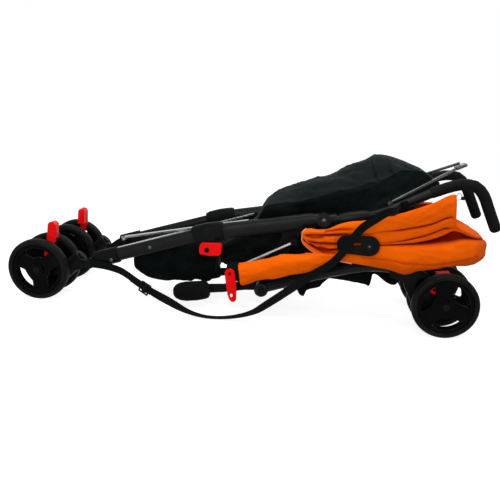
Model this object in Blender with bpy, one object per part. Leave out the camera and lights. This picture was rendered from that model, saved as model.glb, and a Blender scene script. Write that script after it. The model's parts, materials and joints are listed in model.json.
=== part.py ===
"""A folded umbrella stroller, lying on its eight wheels.

Metres, +Z up. The front casters point to -X, the handles to +X, and the left side is at -Y.
Places along the stroller are measured from the front axle, and heights from the floor.
The empty named stroller carries every piece and puts the middle of the whole at the origin.
"""

import math

import bmesh
import bpy
from mathutils import Matrix, Vector

for old in list(bpy.data.objects):
    bpy.data.objects.remove(old)

# Driving dimensions of the running gear
FRONT_WHEEL_D = 0.140
REAR_WHEEL_D = 0.140
WHEEL_WIDTH = 0.024
TYRE_THICKNESS = 0.0115
TWIN_PITCH = 0.065
AXLE_R = 0.004
WHEEL_BASE = 0.901
CASTER_Y = 0.0785
REAR_Y = 0.0895
REAR_BRACKET_HALF = 0.0160

# Driving dimensions of the folded frame
SIDE_Y = 0.085
LEG_FOOT = Vector((0.150, 0.0, 0.103))
LEG_TOP = Vector((0.385, 0.0, 0.179))
LEG_HEIGHT = 0.030
LEG_WIDTH = 0.018
SIDE_TUBE_HEIGHT = 0.035
SIDE_TUBE_WIDTH = 0.0185
HINGE_POINT = Vector((0.635, 0.0, 0.228))
HANDLE_TUBE_R = 0.0100
GRIP_R = 0.0118
REAR_PIVOT = Vector((0.510, 0.0, 0.062))
REAR_LEG_R = 0.0110
CANOPY_PIVOT = Vector((0.732, 0.0, 0.186))
TUBE_SIDES = 12

# Clearances
GAP = 0.0003
PIN_GAP = 0.0003

# The whole lies from the front tyre to the handle grips
GRIP_END_X = 1.0017
MIDDLE_X = (GRIP_END_X - FRONT_WHEEL_D / 2) / 2

FRONT_AXLE = Vector((0.0, 0.0, FRONT_WHEEL_D / 2))
REAR_AXLE = Vector((WHEEL_BASE, 0.0, REAR_WHEEL_D / 2))

LEFT = -1
RIGHT = 1
SIDE_NAMES = {LEFT: "left", RIGHT: "right"}


def material(name, colour, roughness, metallic=0.0):
    """A Principled material with one colour."""
    made = bpy.data.materials.new(name)
    made.use_nodes = True
    shader = made.node_tree.nodes["Principled BSDF"]
    shader.inputs["Base Color"].default_value = (*colour, 1.0)
    shader.inputs["Roughness"].default_value = roughness
    shader.inputs["Metallic"].default_value = metallic
    made.diffuse_color = (*colour, 1.0)
    return made


BLACK_TUBE = material("black_painted_tube", (0.022, 0.026, 0.025), 0.35, 0.2)
BLACK_PLASTIC = material("black_plastic", (0.020, 0.023, 0.022), 0.45)
RUBBER = material("tyre_rubber", (0.016, 0.017, 0.017), 0.75)
RED_PLASTIC = material("red_plastic", (0.72, 0.012, 0.020), 0.38)
ORANGE_CLOTH = material("orange_cloth", (0.88, 0.17, 0.015), 0.85)
BLACK_CLOTH = material("black_cloth", (0.018, 0.024, 0.023), 0.90)
BARE_METAL = material("bare_metal", (0.62, 0.63, 0.64), 0.32, 1.0)
FOAM = material("grip_foam", (0.018, 0.019, 0.020), 0.80)

STROLLER = bpy.data.objects.new("stroller", None)
STROLLER.location = (-MIDDLE_X, 0.0, 0.0)
bpy.context.scene.collection.objects.link(STROLLER)


# Mesh tools


def finished(bm, name, keep_normals=False):
    """The bmesh as a mesh whose faces point outwards."""
    bmesh.ops.remove_doubles(bm, verts=bm.verts, dist=1e-6)
    if not keep_normals:
        bmesh.ops.recalc_face_normals(bm, faces=bm.faces)
    mesh = bpy.data.meshes.new(name)
    bm.to_mesh(mesh)
    bm.free()
    return mesh


def skinned(rings, name="skin", closed=False):
    """A body skinned over rings of points, with its two ends filled, or joined to each other."""
    bm = bmesh.new()
    loops = [[bm.verts.new(point) for point in ring] for ring in rings]
    sides = len(rings[0])
    pairs = list(zip(loops, loops[1:]))
    if closed:
        pairs.append((loops[-1], loops[0]))
    for first, second in pairs:
        for k in range(sides):
            following = (k + 1) % sides
            bm.faces.new((first[k], first[following], second[following], second[k]))
    if not closed:
        bm.faces.new(loops[0])
        bm.faces.new(loops[-1])
    return finished(bm, name)


def oval(height, width, sides=16, squareness=2.0):
    """Points (across, up) of a superellipse of that height and width."""
    points = []
    for k in range(sides):
        angle = 2 * math.pi * (k + 0.5) / sides
        c = math.cos(angle)
        s = math.sin(angle)
        across = math.copysign(abs(c) ** (2 / squareness), c) * width / 2
        up = math.copysign(abs(s) ** (2 / squareness), s) * height / 2
        points.append((across, up))
    return points


def smooth_route(points, steps):
    """A Catmull-Rom curve through the points, with that many steps in each span."""
    ends = [points[0] * 2 - points[1], *points, points[-1] * 2 - points[-2]]
    route = []
    for i in range(1, len(ends) - 2):
        before, start, end, after = ends[i - 1:i + 3]
        for k in range(steps):
            t = k / steps
            route.append(0.5 * (2 * start + (end - before) * t
                                + (2 * before - 5 * start + 4 * end - after) * t ** 2
                                + (3 * start - before - 3 * end + after) * t ** 3))
    route.append(points[-1].copy())
    return route


def swept(route, section, across=Vector((0, 1, 0)), scales=None, name="swept"):
    """The section swept along the route. Its first axis follows the vector across."""
    rings = []
    for i, point in enumerate(route):
        ahead = route[min(i + 1, len(route) - 1)] - route[max(i - 1, 0)]
        ahead.normalize()
        side = (across - ahead * across.dot(ahead)).normalized()
        up = side.cross(ahead)
        scale = scales[i] if scales else 1.0
        rings.append([point + side * a * scale + up * b * scale for a, b in section])
    return skinned(rings, name)


def round_rod(start, end, radius, sides=10, name="rod"):
    """A straight round rod between two points."""
    across = Vector((0, 1, 0))
    if abs((end - start).normalized().dot(across)) > 0.9:
        across = Vector((1, 0, 0))
    return swept([start, end], oval(2 * radius, 2 * radius, sides), across, name=name)


def across_rod(centre, radius, low_y, high_y, sides=16):
    """A round rod along Y."""
    return round_rod(Vector((centre.x, low_y, centre.z)), Vector((centre.x, high_y, centre.z)), radius, sides)


def arc(x, z, radius, start, end, steps):
    """Points (x, z) along an arc, with angles in degrees from +X towards +Z."""
    points = []
    for k in range(steps + 1):
        angle = math.radians(start + (end - start) * k / steps)
        points.append((x + radius * math.cos(angle), z + radius * math.sin(angle)))
    return points


def plate(outline, low_y, high_y, holes=(), name="plate"):
    """An outline in X and Z, with holes, extruded along Y."""
    bm = bmesh.new()
    edges = []
    for loop in [outline, *holes]:
        corners = [bm.verts.new((x, low_y, z)) for x, z in loop]
        for k, corner in enumerate(corners):
            edges.append(bm.edges.new((corner, corners[(k + 1) % len(corners)])))
    bmesh.ops.triangle_fill(bm, use_beauty=True, use_dissolve=False, edges=edges)
    flat = bmesh.ops.extrude_face_region(bm, geom=list(bm.faces), use_keep_orig=True)
    moved = [item for item in flat["geom"] if isinstance(item, bmesh.types.BMVert)]
    bmesh.ops.translate(bm, vec=(0, high_y - low_y, 0), verts=moved)
    return finished(bm, name)


def boolean(mesh, others, operation):
    """The mesh after a union with the others, or a cut by them."""
    base = bpy.data.objects.new("base", mesh)
    bpy.context.scene.collection.objects.link(base)
    helpers = []
    for other in others:
        helper = bpy.data.objects.new("helper", other)
        bpy.context.scene.collection.objects.link(helper)
        step = base.modifiers.new("step", "BOOLEAN")
        step.operation = operation
        step.solver = "EXACT"
        step.object = helper
        helpers.append(helper)
    graph = bpy.context.evaluated_depsgraph_get()
    result = bpy.data.meshes.new_from_object(base.evaluated_get(graph), depsgraph=graph)
    for helper in [base, *helpers]:
        bpy.data.objects.remove(helper)
    bm = bmesh.new()
    bm.from_mesh(result)
    bmesh.ops.dissolve_degenerate(bm, dist=1e-6, edges=bm.edges)
    return finished(bm, mesh.name, keep_normals=True)


def fused(mesh, *others):
    """One body from several that overlap."""
    return boolean(mesh, others, "UNION")


def cut(mesh, *others):
    """The mesh with the others cut out of it."""
    return boolean(mesh, others, "DIFFERENCE")


def shifted(mesh, offset):
    """The same mesh, moved."""
    mesh.transform(Matrix.Translation(offset))
    return mesh


def mirrored(mesh):
    """A copy of the mesh on the other side of the stroller."""
    other = mesh.copy()
    other.transform(Matrix.Diagonal((1, -1, 1, 1)))
    other.flip_normals()
    return other


def piece(name, mesh, finish, pivot=Vector((0, 0, 0))):
    """An object whose origin lies at the pivot."""
    body = mesh.copy()
    body.transform(Matrix.Translation(-pivot))
    body.name = name
    body.materials.clear()
    body.materials.append(finish)
    body.shade_smooth()
    body.set_sharp_from_angle(angle=math.radians(35))
    made = bpy.data.objects.new(name, body)
    made.location = pivot
    made.parent = STROLLER
    bpy.context.scene.collection.objects.link(made)
    return made


def both_sides(name, mesh, finish, pivot=Vector((0, 0, 0))):
    """The right piece as modelled, and its mirror image on the left."""
    piece(name + "_right", mesh, finish, pivot)
    piece(name + "_left", mirrored(mesh), finish, Vector((pivot.x, -pivot.y, pivot.z)))


def at(point, y):
    """The point, moved to that distance from the middle."""
    return Vector((point.x, y, point.z))


# Wheels

WHEEL_SIDES = 24
INNER_WHEEL_SIDES = 24
HUB_PLATE_R = 0.0270
SPOKES = 3
SPOKE_HALF = 0.0168
RIM_RING = 0.0085
TYRE_GAP = 0.0002
FRONT_TURN = math.radians(95)
REAR_TURN = math.radians(40)


def flats_at(radius, sides):
    """The corner radius of a many-sided wheel whose flats lie at the radius."""
    return radius / math.cos(math.pi / sides)


def ring_points(radius, sides, phase=0.5):
    """Points (x, z) of a circle about the origin."""
    points = []
    for k in range(sides):
        angle = 2 * math.pi * (k + phase) / sides
        points.append((radius * math.cos(angle), radius * math.sin(angle)))
    return points


def window(inner, outer, middle_angle, sector, steps=6):
    """One opening between two spokes, from the hub to the rim's ring."""
    points = []
    inner_half = sector / 2 - math.asin(SPOKE_HALF / inner)
    outer_half = sector / 2 - math.asin(SPOKE_HALF / outer)
    for k in range(steps + 1):
        angle = middle_angle - outer_half + 2 * outer_half * k / steps
        points.append((outer * math.cos(angle), outer * math.sin(angle)))
    for k in range(4):
        angle = middle_angle + inner_half - 2 * inner_half * k / 3
        points.append((inner * math.cos(angle), inner * math.sin(angle)))
    return points


def turned(section, sides, name):
    """A closed section of (radius, y) points turned round the Y axis."""
    rings = []
    for x, z in ring_points(1.0, sides):
        rings.append([Vector((r * x, y, r * z)) for r, y in section])
    return skinned(rings, name, closed=True)


def windows_of(outer, turn, steps):
    """The openings of a wheel, the first one at the angle turn."""
    sector = 2 * math.pi / SPOKES
    return [window(HUB_PLATE_R, outer - RIM_RING, turn + k * sector, sector, steps) for k in range(SPOKES)]


def rim(diameter, turn):
    """A moulded rim with three wide spokes, its bore open for the axle."""
    outer = diameter / 2 - TYRE_THICKNESS
    bore = ring_points(AXLE_R + PIN_GAP, 12)
    half = WHEEL_WIDTH / 2 - 0.0015
    holes = [bore, *windows_of(outer, turn, 6)]
    return plate(ring_points(outer, WHEEL_SIDES), -half, half, holes, name="rim")


def tyre(diameter):
    """A turned tyre with a round tread, its bore just clear of the rim."""
    outer = flats_at(diameter / 2, WHEEL_SIDES)
    inner = diameter / 2 - TYRE_THICKNESS + TYRE_GAP
    half = WHEEL_WIDTH / 2
    section = [(inner, -half), (inner, half), (outer - 0.0045, half), (outer - 0.0010, half * 0.60),
               (outer, half * 0.22), (outer, -half * 0.22), (outer - 0.0010, -half * 0.60),
               (outer - 0.0045, -half)]
    return turned(section, WHEEL_SIDES, "tyre")


def whole_wheel(diameter, turn):
    """An inner wheel, moulded in one: the rim's windows in a body with the tyre's outline."""
    outer = flats_at(diameter / 2, INNER_WHEEL_SIDES)
    half = WHEEL_WIDTH / 2
    section = [(AXLE_R + PIN_GAP, -half + 0.0015), (AXLE_R + PIN_GAP, half - 0.0015),
               (outer - 0.005, half - 0.0008), (outer, half * 0.35), (outer, -half * 0.35),
               (outer - 0.005, -half + 0.0008)]
    body = turned(section, INNER_WHEEL_SIDES, "inner_wheel")
    cutters = [plate(hole, -half * 1.5, half * 1.5) for hole in windows_of(outer - TYRE_THICKNESS, turn, 4)]
    return cut(body, *cutters)


def wheels(end, axle, middle_y, diameter, turn):
    """The outer wheel as rim and tyre, and the inner one in one piece, on both sides."""
    outer_place = Vector((axle.x, middle_y + TWIN_PITCH / 2, axle.z))
    inner_place = Vector((axle.x, middle_y - TWIN_PITCH / 2, axle.z))
    both_sides(end + "_outer_rim", shifted(rim(diameter, turn), outer_place), BLACK_PLASTIC, outer_place)
    both_sides(end + "_outer_tyre", shifted(tyre(diameter), outer_place), RUBBER, outer_place)
    both_sides(end + "_inner_wheel", shifted(whole_wheel(diameter, turn), inner_place),
               BLACK_PLASTIC, inner_place)


wheels("front", FRONT_AXLE, CASTER_Y, FRONT_WHEEL_D, FRONT_TURN)
wheels("rear", REAR_AXLE, REAR_Y, REAR_WHEEL_D, REAR_TURN)

CAP_R = 0.0085
CAP_THICKNESS = 0.0030
FACE_REACH = TWIN_PITCH / 2 + WHEEL_WIDTH / 2 - 0.0015 + GAP


def axle_pin(centre, middle_y):
    """An axle with a round cap outside each of its two wheels."""
    reach = FACE_REACH + CAP_THICKNESS
    profile = [(0.0045, -reach), (CAP_R, -reach + 0.0012), (CAP_R, -FACE_REACH), (AXLE_R, -FACE_REACH),
               (AXLE_R, FACE_REACH), (CAP_R, FACE_REACH), (CAP_R, reach - 0.0012), (0.0045, reach)]
    rings = []
    for radius, y in profile:
        rings.append([Vector((centre.x + x, middle_y + y, centre.z + z)) for x, z in ring_points(radius, 8)])
    return skinned(rings, "axle")


# Casters

SWIVEL_POINT = Vector((0.070, 0.0, 0.080))
SWIVEL_TILT = math.radians(47)
SWIVEL_AXIS = Vector((math.cos(SWIVEL_TILT), 0, math.sin(SWIVEL_TILT)))
SWIVEL_SQUARE = Vector((-math.sin(SWIVEL_TILT), 0, math.cos(SWIVEL_TILT)))
SOCKET_R = 0.0165
SOCKET_LOW = -0.022
SOCKET_HIGH = 0.027
SWIVEL_PIN_R = 0.0050
FORK_HEAD = 0.013
LEVER_PIVOT = Vector((0.014, 0.0, 0.098))
LEVER_PIN_R = 0.0030
FORK_ARM_HALF = 0.0100


def on_swivel(along, aside=0.0):
    """A point on the swivel axis of a caster, or beside it."""
    return at(SWIVEL_POINT + SWIVEL_AXIS * along + SWIVEL_SQUARE * aside, CASTER_Y)


def caster_fork():
    """The fork arm with its swivel head and the captive swivel pin."""
    top = on_swivel(SOCKET_LOW - GAP - 0.001, SOCKET_R)
    low = on_swivel(SOCKET_LOW - GAP - FORK_HEAD, -0.010)
    outline = [(low.x, low.z), (top.x + 0.008, top.z - 0.008), (top.x - 0.002, top.z)]
    outline += [(LEVER_PIVOT.x + 0.008, LEVER_PIVOT.z - 0.002)]
    outline += arc(LEVER_PIVOT.x, LEVER_PIVOT.z, 0.008, 20, 180, 5)
    outline += arc(FRONT_AXLE.x, FRONT_AXLE.z, 0.0165, 150, 285, 7)
    arm = plate(outline, CASTER_Y - FORK_ARM_HALF, CASTER_Y + FORK_ARM_HALF)
    head = round_rod(on_swivel(SOCKET_LOW - GAP), on_swivel(SOCKET_LOW - GAP - FORK_HEAD), 0.0155, 16)
    pin = round_rod(on_swivel(SOCKET_LOW - 0.005), on_swivel(SOCKET_HIGH + 0.003), SWIVEL_PIN_R, 12)
    button = round_rod(on_swivel(SOCKET_HIGH + GAP), on_swivel(SOCKET_HIGH + 0.0035), 0.0085, 14)
    lever_pin = across_rod(LEVER_PIVOT, LEVER_PIN_R, CASTER_Y, CASTER_Y + FORK_ARM_HALF + 0.0055, 10)
    whole = fused(arm, head, pin, button, lever_pin)
    bore = across_rod(FRONT_AXLE, AXLE_R + PIN_GAP, CASTER_Y - 0.03, CASTER_Y + 0.03, 12)
    return cut(whole, bore)


def swivel_lever():
    """The red lever beside the fork, its tab standing above the wheels."""
    low_y = CASTER_Y + FORK_ARM_HALF + GAP
    high_y = low_y + 0.0045
    x = LEVER_PIVOT.x
    z = LEVER_PIVOT.z
    outline = arc(x, z, 0.009, 180, 330, 5)
    outline += [(x + 0.016, z + 0.030), (x + 0.020, z + 0.036)]
    outline += arc(x + 0.0115, z + 0.070, 0.0098, 20, 165, 5)
    outline += [(x - 0.001, z + 0.036), (x - 0.006, z + 0.020)]
    hole = [(x + a, z + b) for a, b in ring_points(LEVER_PIN_R + PIN_GAP, 10)]
    side = plate(outline, low_y, high_y, [hole])
    tab = [(x + 0.0005, z + 0.040), (x + 0.0185, z + 0.040)]
    tab += arc(x + 0.0115, z + 0.070, 0.0090, 20, 165, 5)
    return fused(side, plate(tab, CASTER_Y - 0.0060, high_y - 0.0005))


both_sides("caster_fork", caster_fork(), BLACK_PLASTIC, on_swivel(0.0))
both_sides("front_axle", axle_pin(FRONT_AXLE, CASTER_Y), BARE_METAL, at(FRONT_AXLE, CASTER_Y))
both_sides("swivel_lever", swivel_lever(), RED_PLASTIC, at(LEVER_PIVOT, CASTER_Y))


# Front leg with its lower joint and knuckle

LEG_LINE = (LEG_TOP - LEG_FOOT).normalized()
LEG_UP = Vector((-LEG_LINE.z, 0, LEG_LINE.x))
LEG_START = at(LEG_FOOT - LEG_LINE * 0.012, SIDE_Y)
LEG_END = at(LEG_TOP + LEG_LINE * 0.002, SIDE_Y)
SLEEVE_HALF = 0.034
TUBE_LINE = (HINGE_POINT - LEG_TOP).normalized()
TUBE_START = at(LEG_TOP + TUBE_LINE * 0.012, SIDE_Y)

BRACE_POINT = Vector((0.143, 0.0, 0.1085))
BRACE_Y = 0.0610
BRACE_TILT = math.radians(15.5)
BRACE_LINE = Vector((math.cos(BRACE_TILT), 0, math.sin(BRACE_TILT)))
BRACE_UP = Vector((-math.sin(BRACE_TILT), 0, math.cos(BRACE_TILT)))
BRACE_PIN_R = 0.0030
BAR_THICKNESS = 0.0040
BAR_STEP = BAR_THICKNESS + 0.0006

both_sides("front_leg", swept([LEG_START, LEG_END], oval(LEG_HEIGHT, LEG_WIDTH, 16, 2.3)), BLACK_TUBE)


def leg_bore(start, end, height, width):
    """The cutter for a socket that a leg or a side tube sits in."""
    return swept([start, end], oval(height + 2 * GAP, width + 2 * GAP, 16, 2.3))


def lower_joint():
    """The casting at the leg's foot: leg socket, web, caster socket and the brace bar's ear."""
    socket = swept([at(LEG_FOOT - LEG_LINE * 0.022, SIDE_Y), at(LEG_FOOT + LEG_LINE * 0.030, SIDE_Y)],
                   oval(LEG_HEIGHT + 0.007, LEG_WIDTH + 0.007, 12, 2.6))
    caster = round_rod(on_swivel(SOCKET_LOW), on_swivel(SOCKET_HIGH), SOCKET_R, 16)
    top = on_swivel(SOCKET_HIGH - 0.004, 0.004)
    low = on_swivel(SOCKET_LOW + 0.005, -0.004)
    foot_top = LEG_FOOT + LEG_UP * 0.0165
    foot_low = LEG_FOOT - LEG_UP * 0.0165
    outline = [(low.x, low.z), (foot_low.x - 0.012, foot_low.z - 0.004), (foot_low.x + 0.006, foot_low.z)]
    shoulder = on_swivel(SOCKET_HIGH - 0.003, -0.0145)
    outline += [(foot_top.x - 0.004, foot_top.z), (shoulder.x, shoulder.z), (top.x, top.z)]
    web = plate(outline, CASTER_Y - 0.0085, CASTER_Y + 0.0135)
    boss = across_rod(Vector((0.118, 0, 0.090)), 0.0110, CASTER_Y - 0.011, SIDE_Y + 0.0145, 12)
    foot = at(BRACE_POINT, BRACE_Y)
    ear = round_rod(foot - BRACE_UP * 0.016, foot, 0.0090, 12)
    bridge = plate([(0.132, 0.0900), (0.154, 0.0960), (0.152, 0.1070), (0.134, 0.1025)], BRACE_Y, CASTER_Y)
    pin = round_rod(foot - BRACE_UP * 0.004, foot + BRACE_UP * (BAR_THICKNESS + BAR_STEP + 0.0016),
                    BRACE_PIN_R, 10)
    whole = fused(socket, caster, web, boss, bridge, ear, pin)
    bore = leg_bore(LEG_START - LEG_LINE * GAP, LEG_START + LEG_LINE * 0.09, LEG_HEIGHT, LEG_WIDTH)
    swivel = round_rod(on_swivel(SOCKET_LOW - 0.01), on_swivel(SOCKET_HIGH + 0.01),
                       SWIVEL_PIN_R + PIN_GAP, 12)
    return cut(whole, bore, swivel)


LOCK_PIVOT = Vector((0.387, 0.0, 0.1455))
LOCK_PIN_R = 0.0030
LOCK_THICKNESS = 0.0100
KNUCKLE_HALF = 0.0135
LUG_FACE = SIDE_Y + KNUCKLE_HALF


def knuckle():
    """The sleeve that joins the leg to the side tube, with the lug of the fold lock."""
    middle = at(LEG_TOP + LEG_UP * 0.0005, SIDE_Y)
    route = [middle - LEG_LINE * SLEEVE_HALF, middle - LEG_LINE * (SLEEVE_HALF - 0.008), middle,
             middle + TUBE_LINE * (SLEEVE_HALF - 0.008), middle + TUBE_LINE * SLEEVE_HALF]
    sleeve = swept(route, oval(0.044, 2 * KNUCKLE_HALF, 12, 3.2), scales=[0.90, 1.0, 1.0, 1.0, 0.93])
    x = LOCK_PIVOT.x
    z = LOCK_PIVOT.z
    outline = arc(x, z, 0.0105, 180, 360, 6) + [(x + 0.016, z + 0.030), (x - 0.020, z + 0.022)]
    lug = plate(outline, SIDE_Y - 0.006, LUG_FACE)
    reach = LUG_FACE + GAP + LOCK_THICKNESS + GAP
    pin = across_rod(LOCK_PIVOT, LOCK_PIN_R, SIDE_Y, reach + 0.0008, 10)
    head = across_rod(LOCK_PIVOT, 0.0055, reach, reach + 0.0016, 12)
    whole = fused(sleeve, lug, pin, head)
    lower = leg_bore(LEG_END - LEG_LINE * 0.08, LEG_END + LEG_LINE * GAP, LEG_HEIGHT, LEG_WIDTH)
    upper = leg_bore(TUBE_START - TUBE_LINE * GAP, TUBE_START + TUBE_LINE * 0.08, SIDE_TUBE_HEIGHT,
                     SIDE_TUBE_WIDTH)
    return cut(whole, lower, upper)


def fold_lock():
    """The red block of the fold lock, which hangs on the knuckle's lug."""
    x = LOCK_PIVOT.x
    z = LOCK_PIVOT.z
    outline = [(x - 0.0165, z + 0.0100), (x - 0.0175, z - 0.0060), (x - 0.0140, z - 0.0115),
               (x + 0.0060, z - 0.0130)]
    outline += [(x + 0.0270, z - 0.0105), (x + 0.0315, z - 0.0060), (x + 0.0325, z + 0.0110),
                (x + 0.0290, z + 0.0165)]
    outline += [(x - 0.0120, z + 0.0140)]
    hole = [(x + a, z + b) for a, b in ring_points(LOCK_PIN_R + PIN_GAP, 10)]
    return plate(outline, LUG_FACE + GAP, LUG_FACE + GAP + LOCK_THICKNESS, [hole])


both_sides("lower_joint", lower_joint(), BLACK_PLASTIC)
both_sides("knuckle", knuckle(), BLACK_PLASTIC)
both_sides("fold_lock", fold_lock(), RED_PLASTIC, at(LOCK_PIVOT, SIDE_Y))


# Side tube, handle tube and grip

HINGE_R = 0.0150
SOCKET_REACH = 0.026
HANDLE_LINE = Vector((math.cos(math.radians(7)), 0, math.sin(math.radians(7))))
HANDLE_START = at(HINGE_POINT + HANDLE_LINE * 0.010, SIDE_Y)
HANDLE_Y = 0.080
HANDLE_ROUTE = [HANDLE_START, Vector((0.690, SIDE_Y, 0.2350)), Vector((0.745, 0.084, 0.2480)),
                Vector((0.800, 0.082, 0.2720)), Vector((0.845, HANDLE_Y, 0.2955)),
                Vector((0.878, HANDLE_Y, 0.3110))]
GRIP_ROUTE = [Vector((0.850, HANDLE_Y, 0.2980)), Vector((0.878, HANDLE_Y, 0.3110)),
              Vector((0.908, 0.079, 0.3205)),
              Vector((0.936, 0.078, 0.3195)), Vector((0.956, 0.077, 0.3020)), Vector((0.969, 0.076, 0.2770)),
              Vector((0.981, 0.075, 0.2530)), Vector((0.9910, 0.075, 0.2330))]

CANOPY_MOUNT_HALF = 0.0085
CANOPY_PIN_R = 0.0035
CANOPY_MOUNT_FACE = 0.0985
WING_Y = 0.1110
WING_HALF = 0.0065
WING_SWELL = 1.10
CANOPY_BRACKET_Y = WING_Y + WING_HALF * WING_SWELL + 0.0006
CANOPY_BRACKET_THICKNESS = 0.0060
CANOPY_BOSS_R = 0.0090

STRUT_TILT = math.radians(27)
STRUT_LINE = Vector((math.cos(STRUT_TILT), 0, math.sin(STRUT_TILT)))
STRUT_UP = Vector((-math.sin(STRUT_TILT), 0, math.cos(STRUT_TILT)))
STRUT_FOOT = Vector((0.7700, 0.0, 0.2690))
STRUT_Y = 0.0805
STRUT_R = 0.0032
STRUT_LENGTH = 0.190
STRUT_RIM = 0.0004
STRUT_STEP = 2 * STRUT_R + 2 * STRUT_RIM + 0.0004


def side_tube():
    """The oval tube from the knuckle to the round hinge, with the socket of the handle tube."""
    end = at(HINGE_POINT, SIDE_Y)
    body = swept([TUBE_START, TUBE_START + TUBE_LINE * 0.08, end - TUBE_LINE * 0.030,
                  end + TUBE_LINE * 0.004],
                 oval(SIDE_TUBE_HEIGHT, SIDE_TUBE_WIDTH, 16, 2.3), scales=[1.0, 1.0, 1.0, 0.72])
    hinge = across_rod(end, HINGE_R, SIDE_Y - 0.0115, SIDE_Y + 0.0125, 20)
    cap = across_rod(end, HINGE_R * 0.6, SIDE_Y, SIDE_Y + 0.0145, 14)
    socket = round_rod(end, end + HANDLE_LINE * SOCKET_REACH, HANDLE_TUBE_R + 0.0032, 16)
    whole = fused(body, hinge, cap, socket)
    bore = round_rod(HANDLE_START - HANDLE_LINE * GAP, end + HANDLE_LINE * 0.06, HANDLE_TUBE_R + GAP,
                     TUBE_SIDES)
    return cut(whole, bore)


def handle_tube():
    """The round handle tube with its canopy mount and the foot of a handle strut."""
    tube = swept(smooth_route(HANDLE_ROUTE, 2), oval(2 * HANDLE_TUBE_R, 2 * HANDLE_TUBE_R, TUBE_SIDES))
    collar = swept([Vector((0.6680, SIDE_Y, 0.2325)), Vector((0.6800, SIDE_Y, 0.2337)),
                    Vector((0.7160, SIDE_Y, 0.2405)), Vector((0.7280, SIDE_Y, 0.2432))],
                   oval(0.0300, 0.0270, TUBE_SIDES), scales=[0.82, 1.0, 1.0, 0.82])
    x = CANOPY_PIVOT.x
    z = CANOPY_PIVOT.z
    outline = arc(x, z, 0.0125, 200, 360, 7) + [(x + 0.006, z + 0.053), (x - 0.040, z + 0.046)]
    mount = plate(outline, CANOPY_MOUNT_FACE - CANOPY_MOUNT_HALF, CANOPY_MOUNT_FACE)
    reach = CANOPY_BRACKET_Y + CANOPY_BRACKET_THICKNESS
    pin = across_rod(CANOPY_PIVOT, CANOPY_PIN_R, CANOPY_MOUNT_FACE - 0.002, reach + 0.0008, 12)
    head = across_rod(CANOPY_PIVOT, 0.0060, reach + GAP, reach + 0.0022, 14)
    spacer = across_rod(CANOPY_PIVOT, CANOPY_BOSS_R, CANOPY_MOUNT_FACE - 0.002, CANOPY_BRACKET_Y - GAP, 16)
    foot = at(STRUT_FOOT, STRUT_Y)
    lug = round_rod(foot - STRUT_UP * 0.010, foot, 0.0075, 14)
    strut_pin = round_rod(foot - STRUT_UP * 0.002, foot + STRUT_UP * (2 * STRUT_STEP + 0.0010), 0.0022, 10)
    return fused(tube, collar, mount, pin, head, spacer, lug, strut_pin)


def grip():
    """The foam grip, bent down at its end, its mouth open for the handle tube."""
    route = smooth_route(GRIP_ROUTE, 2)
    scales = [1.0] * len(route)
    end = route[-1]
    last = (route[-1] - route[-2]).normalized()
    for reach, scale in ((0.0035, 0.90), (0.0062, 0.66), (0.0072, 0.30)):
        route.append(end + last * reach)
        scales.append(scale)
    scales[0] = 0.92
    foam = swept(route, oval(2 * GRIP_R, 2 * GRIP_R, TUBE_SIDES), scales=scales)
    inside = smooth_route(HANDLE_ROUTE, 2)
    inside = [p for p in inside if p.x > GRIP_ROUTE[0].x - 0.02]
    inside.append(inside[-1] + (inside[-1] - inside[-2]).normalized() * GAP)
    return cut(foam, swept(inside, oval(2 * HANDLE_TUBE_R + 2 * GAP, 2 * HANDLE_TUBE_R + 2 * GAP,
                                        TUBE_SIDES)))


both_sides("side_tube", side_tube(), BLACK_TUBE)
both_sides("handle_tube", handle_tube(), BLACK_TUBE)
both_sides("grip", grip(), FOAM)


# Rear leg, its pivot plate, the leg rest and the armrest rod

PLATE_THICKNESS = 0.0050
PLATE_FACE = SIDE_Y - SIDE_TUBE_WIDTH / 2 - GAP
PIVOT_PIN_R = 0.0040
EYE_R = 0.0155
KNOB_POINT = Vector((0.575, 0.0, 0.1760))
ROD_R = 0.0032
ROD_Y = 0.0965
ROD_FOOT = Vector((0.4370, 0.0, 0.1000))
FITTING_Y = (0.0925, 0.1065)
HOOK_PIVOT = Vector((0.4400, 0.0, 0.0965))


def pivot_plate():
    """The plate that hangs from the side tube and carries the bolt of the rear leg."""
    x = REAR_PIVOT.x
    z = REAR_PIVOT.z
    outline = arc(x, z, 0.0125, 150, 330, 8)
    outline += [(0.5680, 0.1560), (0.6040, 0.2190), (0.5900, 0.2280), (0.5520, 0.2200), (0.5460, 0.1800)]
    outline += [(0.5180, 0.1120)]
    hanger = plate(outline, PLATE_FACE - PLATE_THICKNESS, PLATE_FACE)
    outer = REAR_Y + 0.0140
    bolt = across_rod(REAR_PIVOT, PIVOT_PIN_R, PLATE_FACE - PLATE_THICKNESS - 0.0110, outer + 0.0010, 12)
    bolt_head = across_rod(REAR_PIVOT, 0.0075, outer + GAP, outer + 0.0035, 6)
    inner_head = across_rod(REAR_PIVOT, 0.0070, PLATE_FACE - PLATE_THICKNESS - 0.0125,
                            PLATE_FACE - PLATE_THICKNESS - 0.0105, 12)
    spindle = across_rod(KNOB_POINT, 0.0045, PLATE_FACE - PLATE_THICKNESS / 2, ROD_Y - ROD_R - 0.0022, 12)
    return fused(hanger, bolt, bolt_head, inner_head, spindle)


REAR_LEG_ROUTE = [REAR_PIVOT, Vector((0.560, 0, 0.0800)), Vector((0.630, 0, 0.1040)),
                  Vector((0.700, 0, 0.1250)),
                  Vector((0.752, 0, 0.1345)), Vector((0.800, 0, 0.1330))]
BRACKET_MOUTH = 0.790


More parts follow.
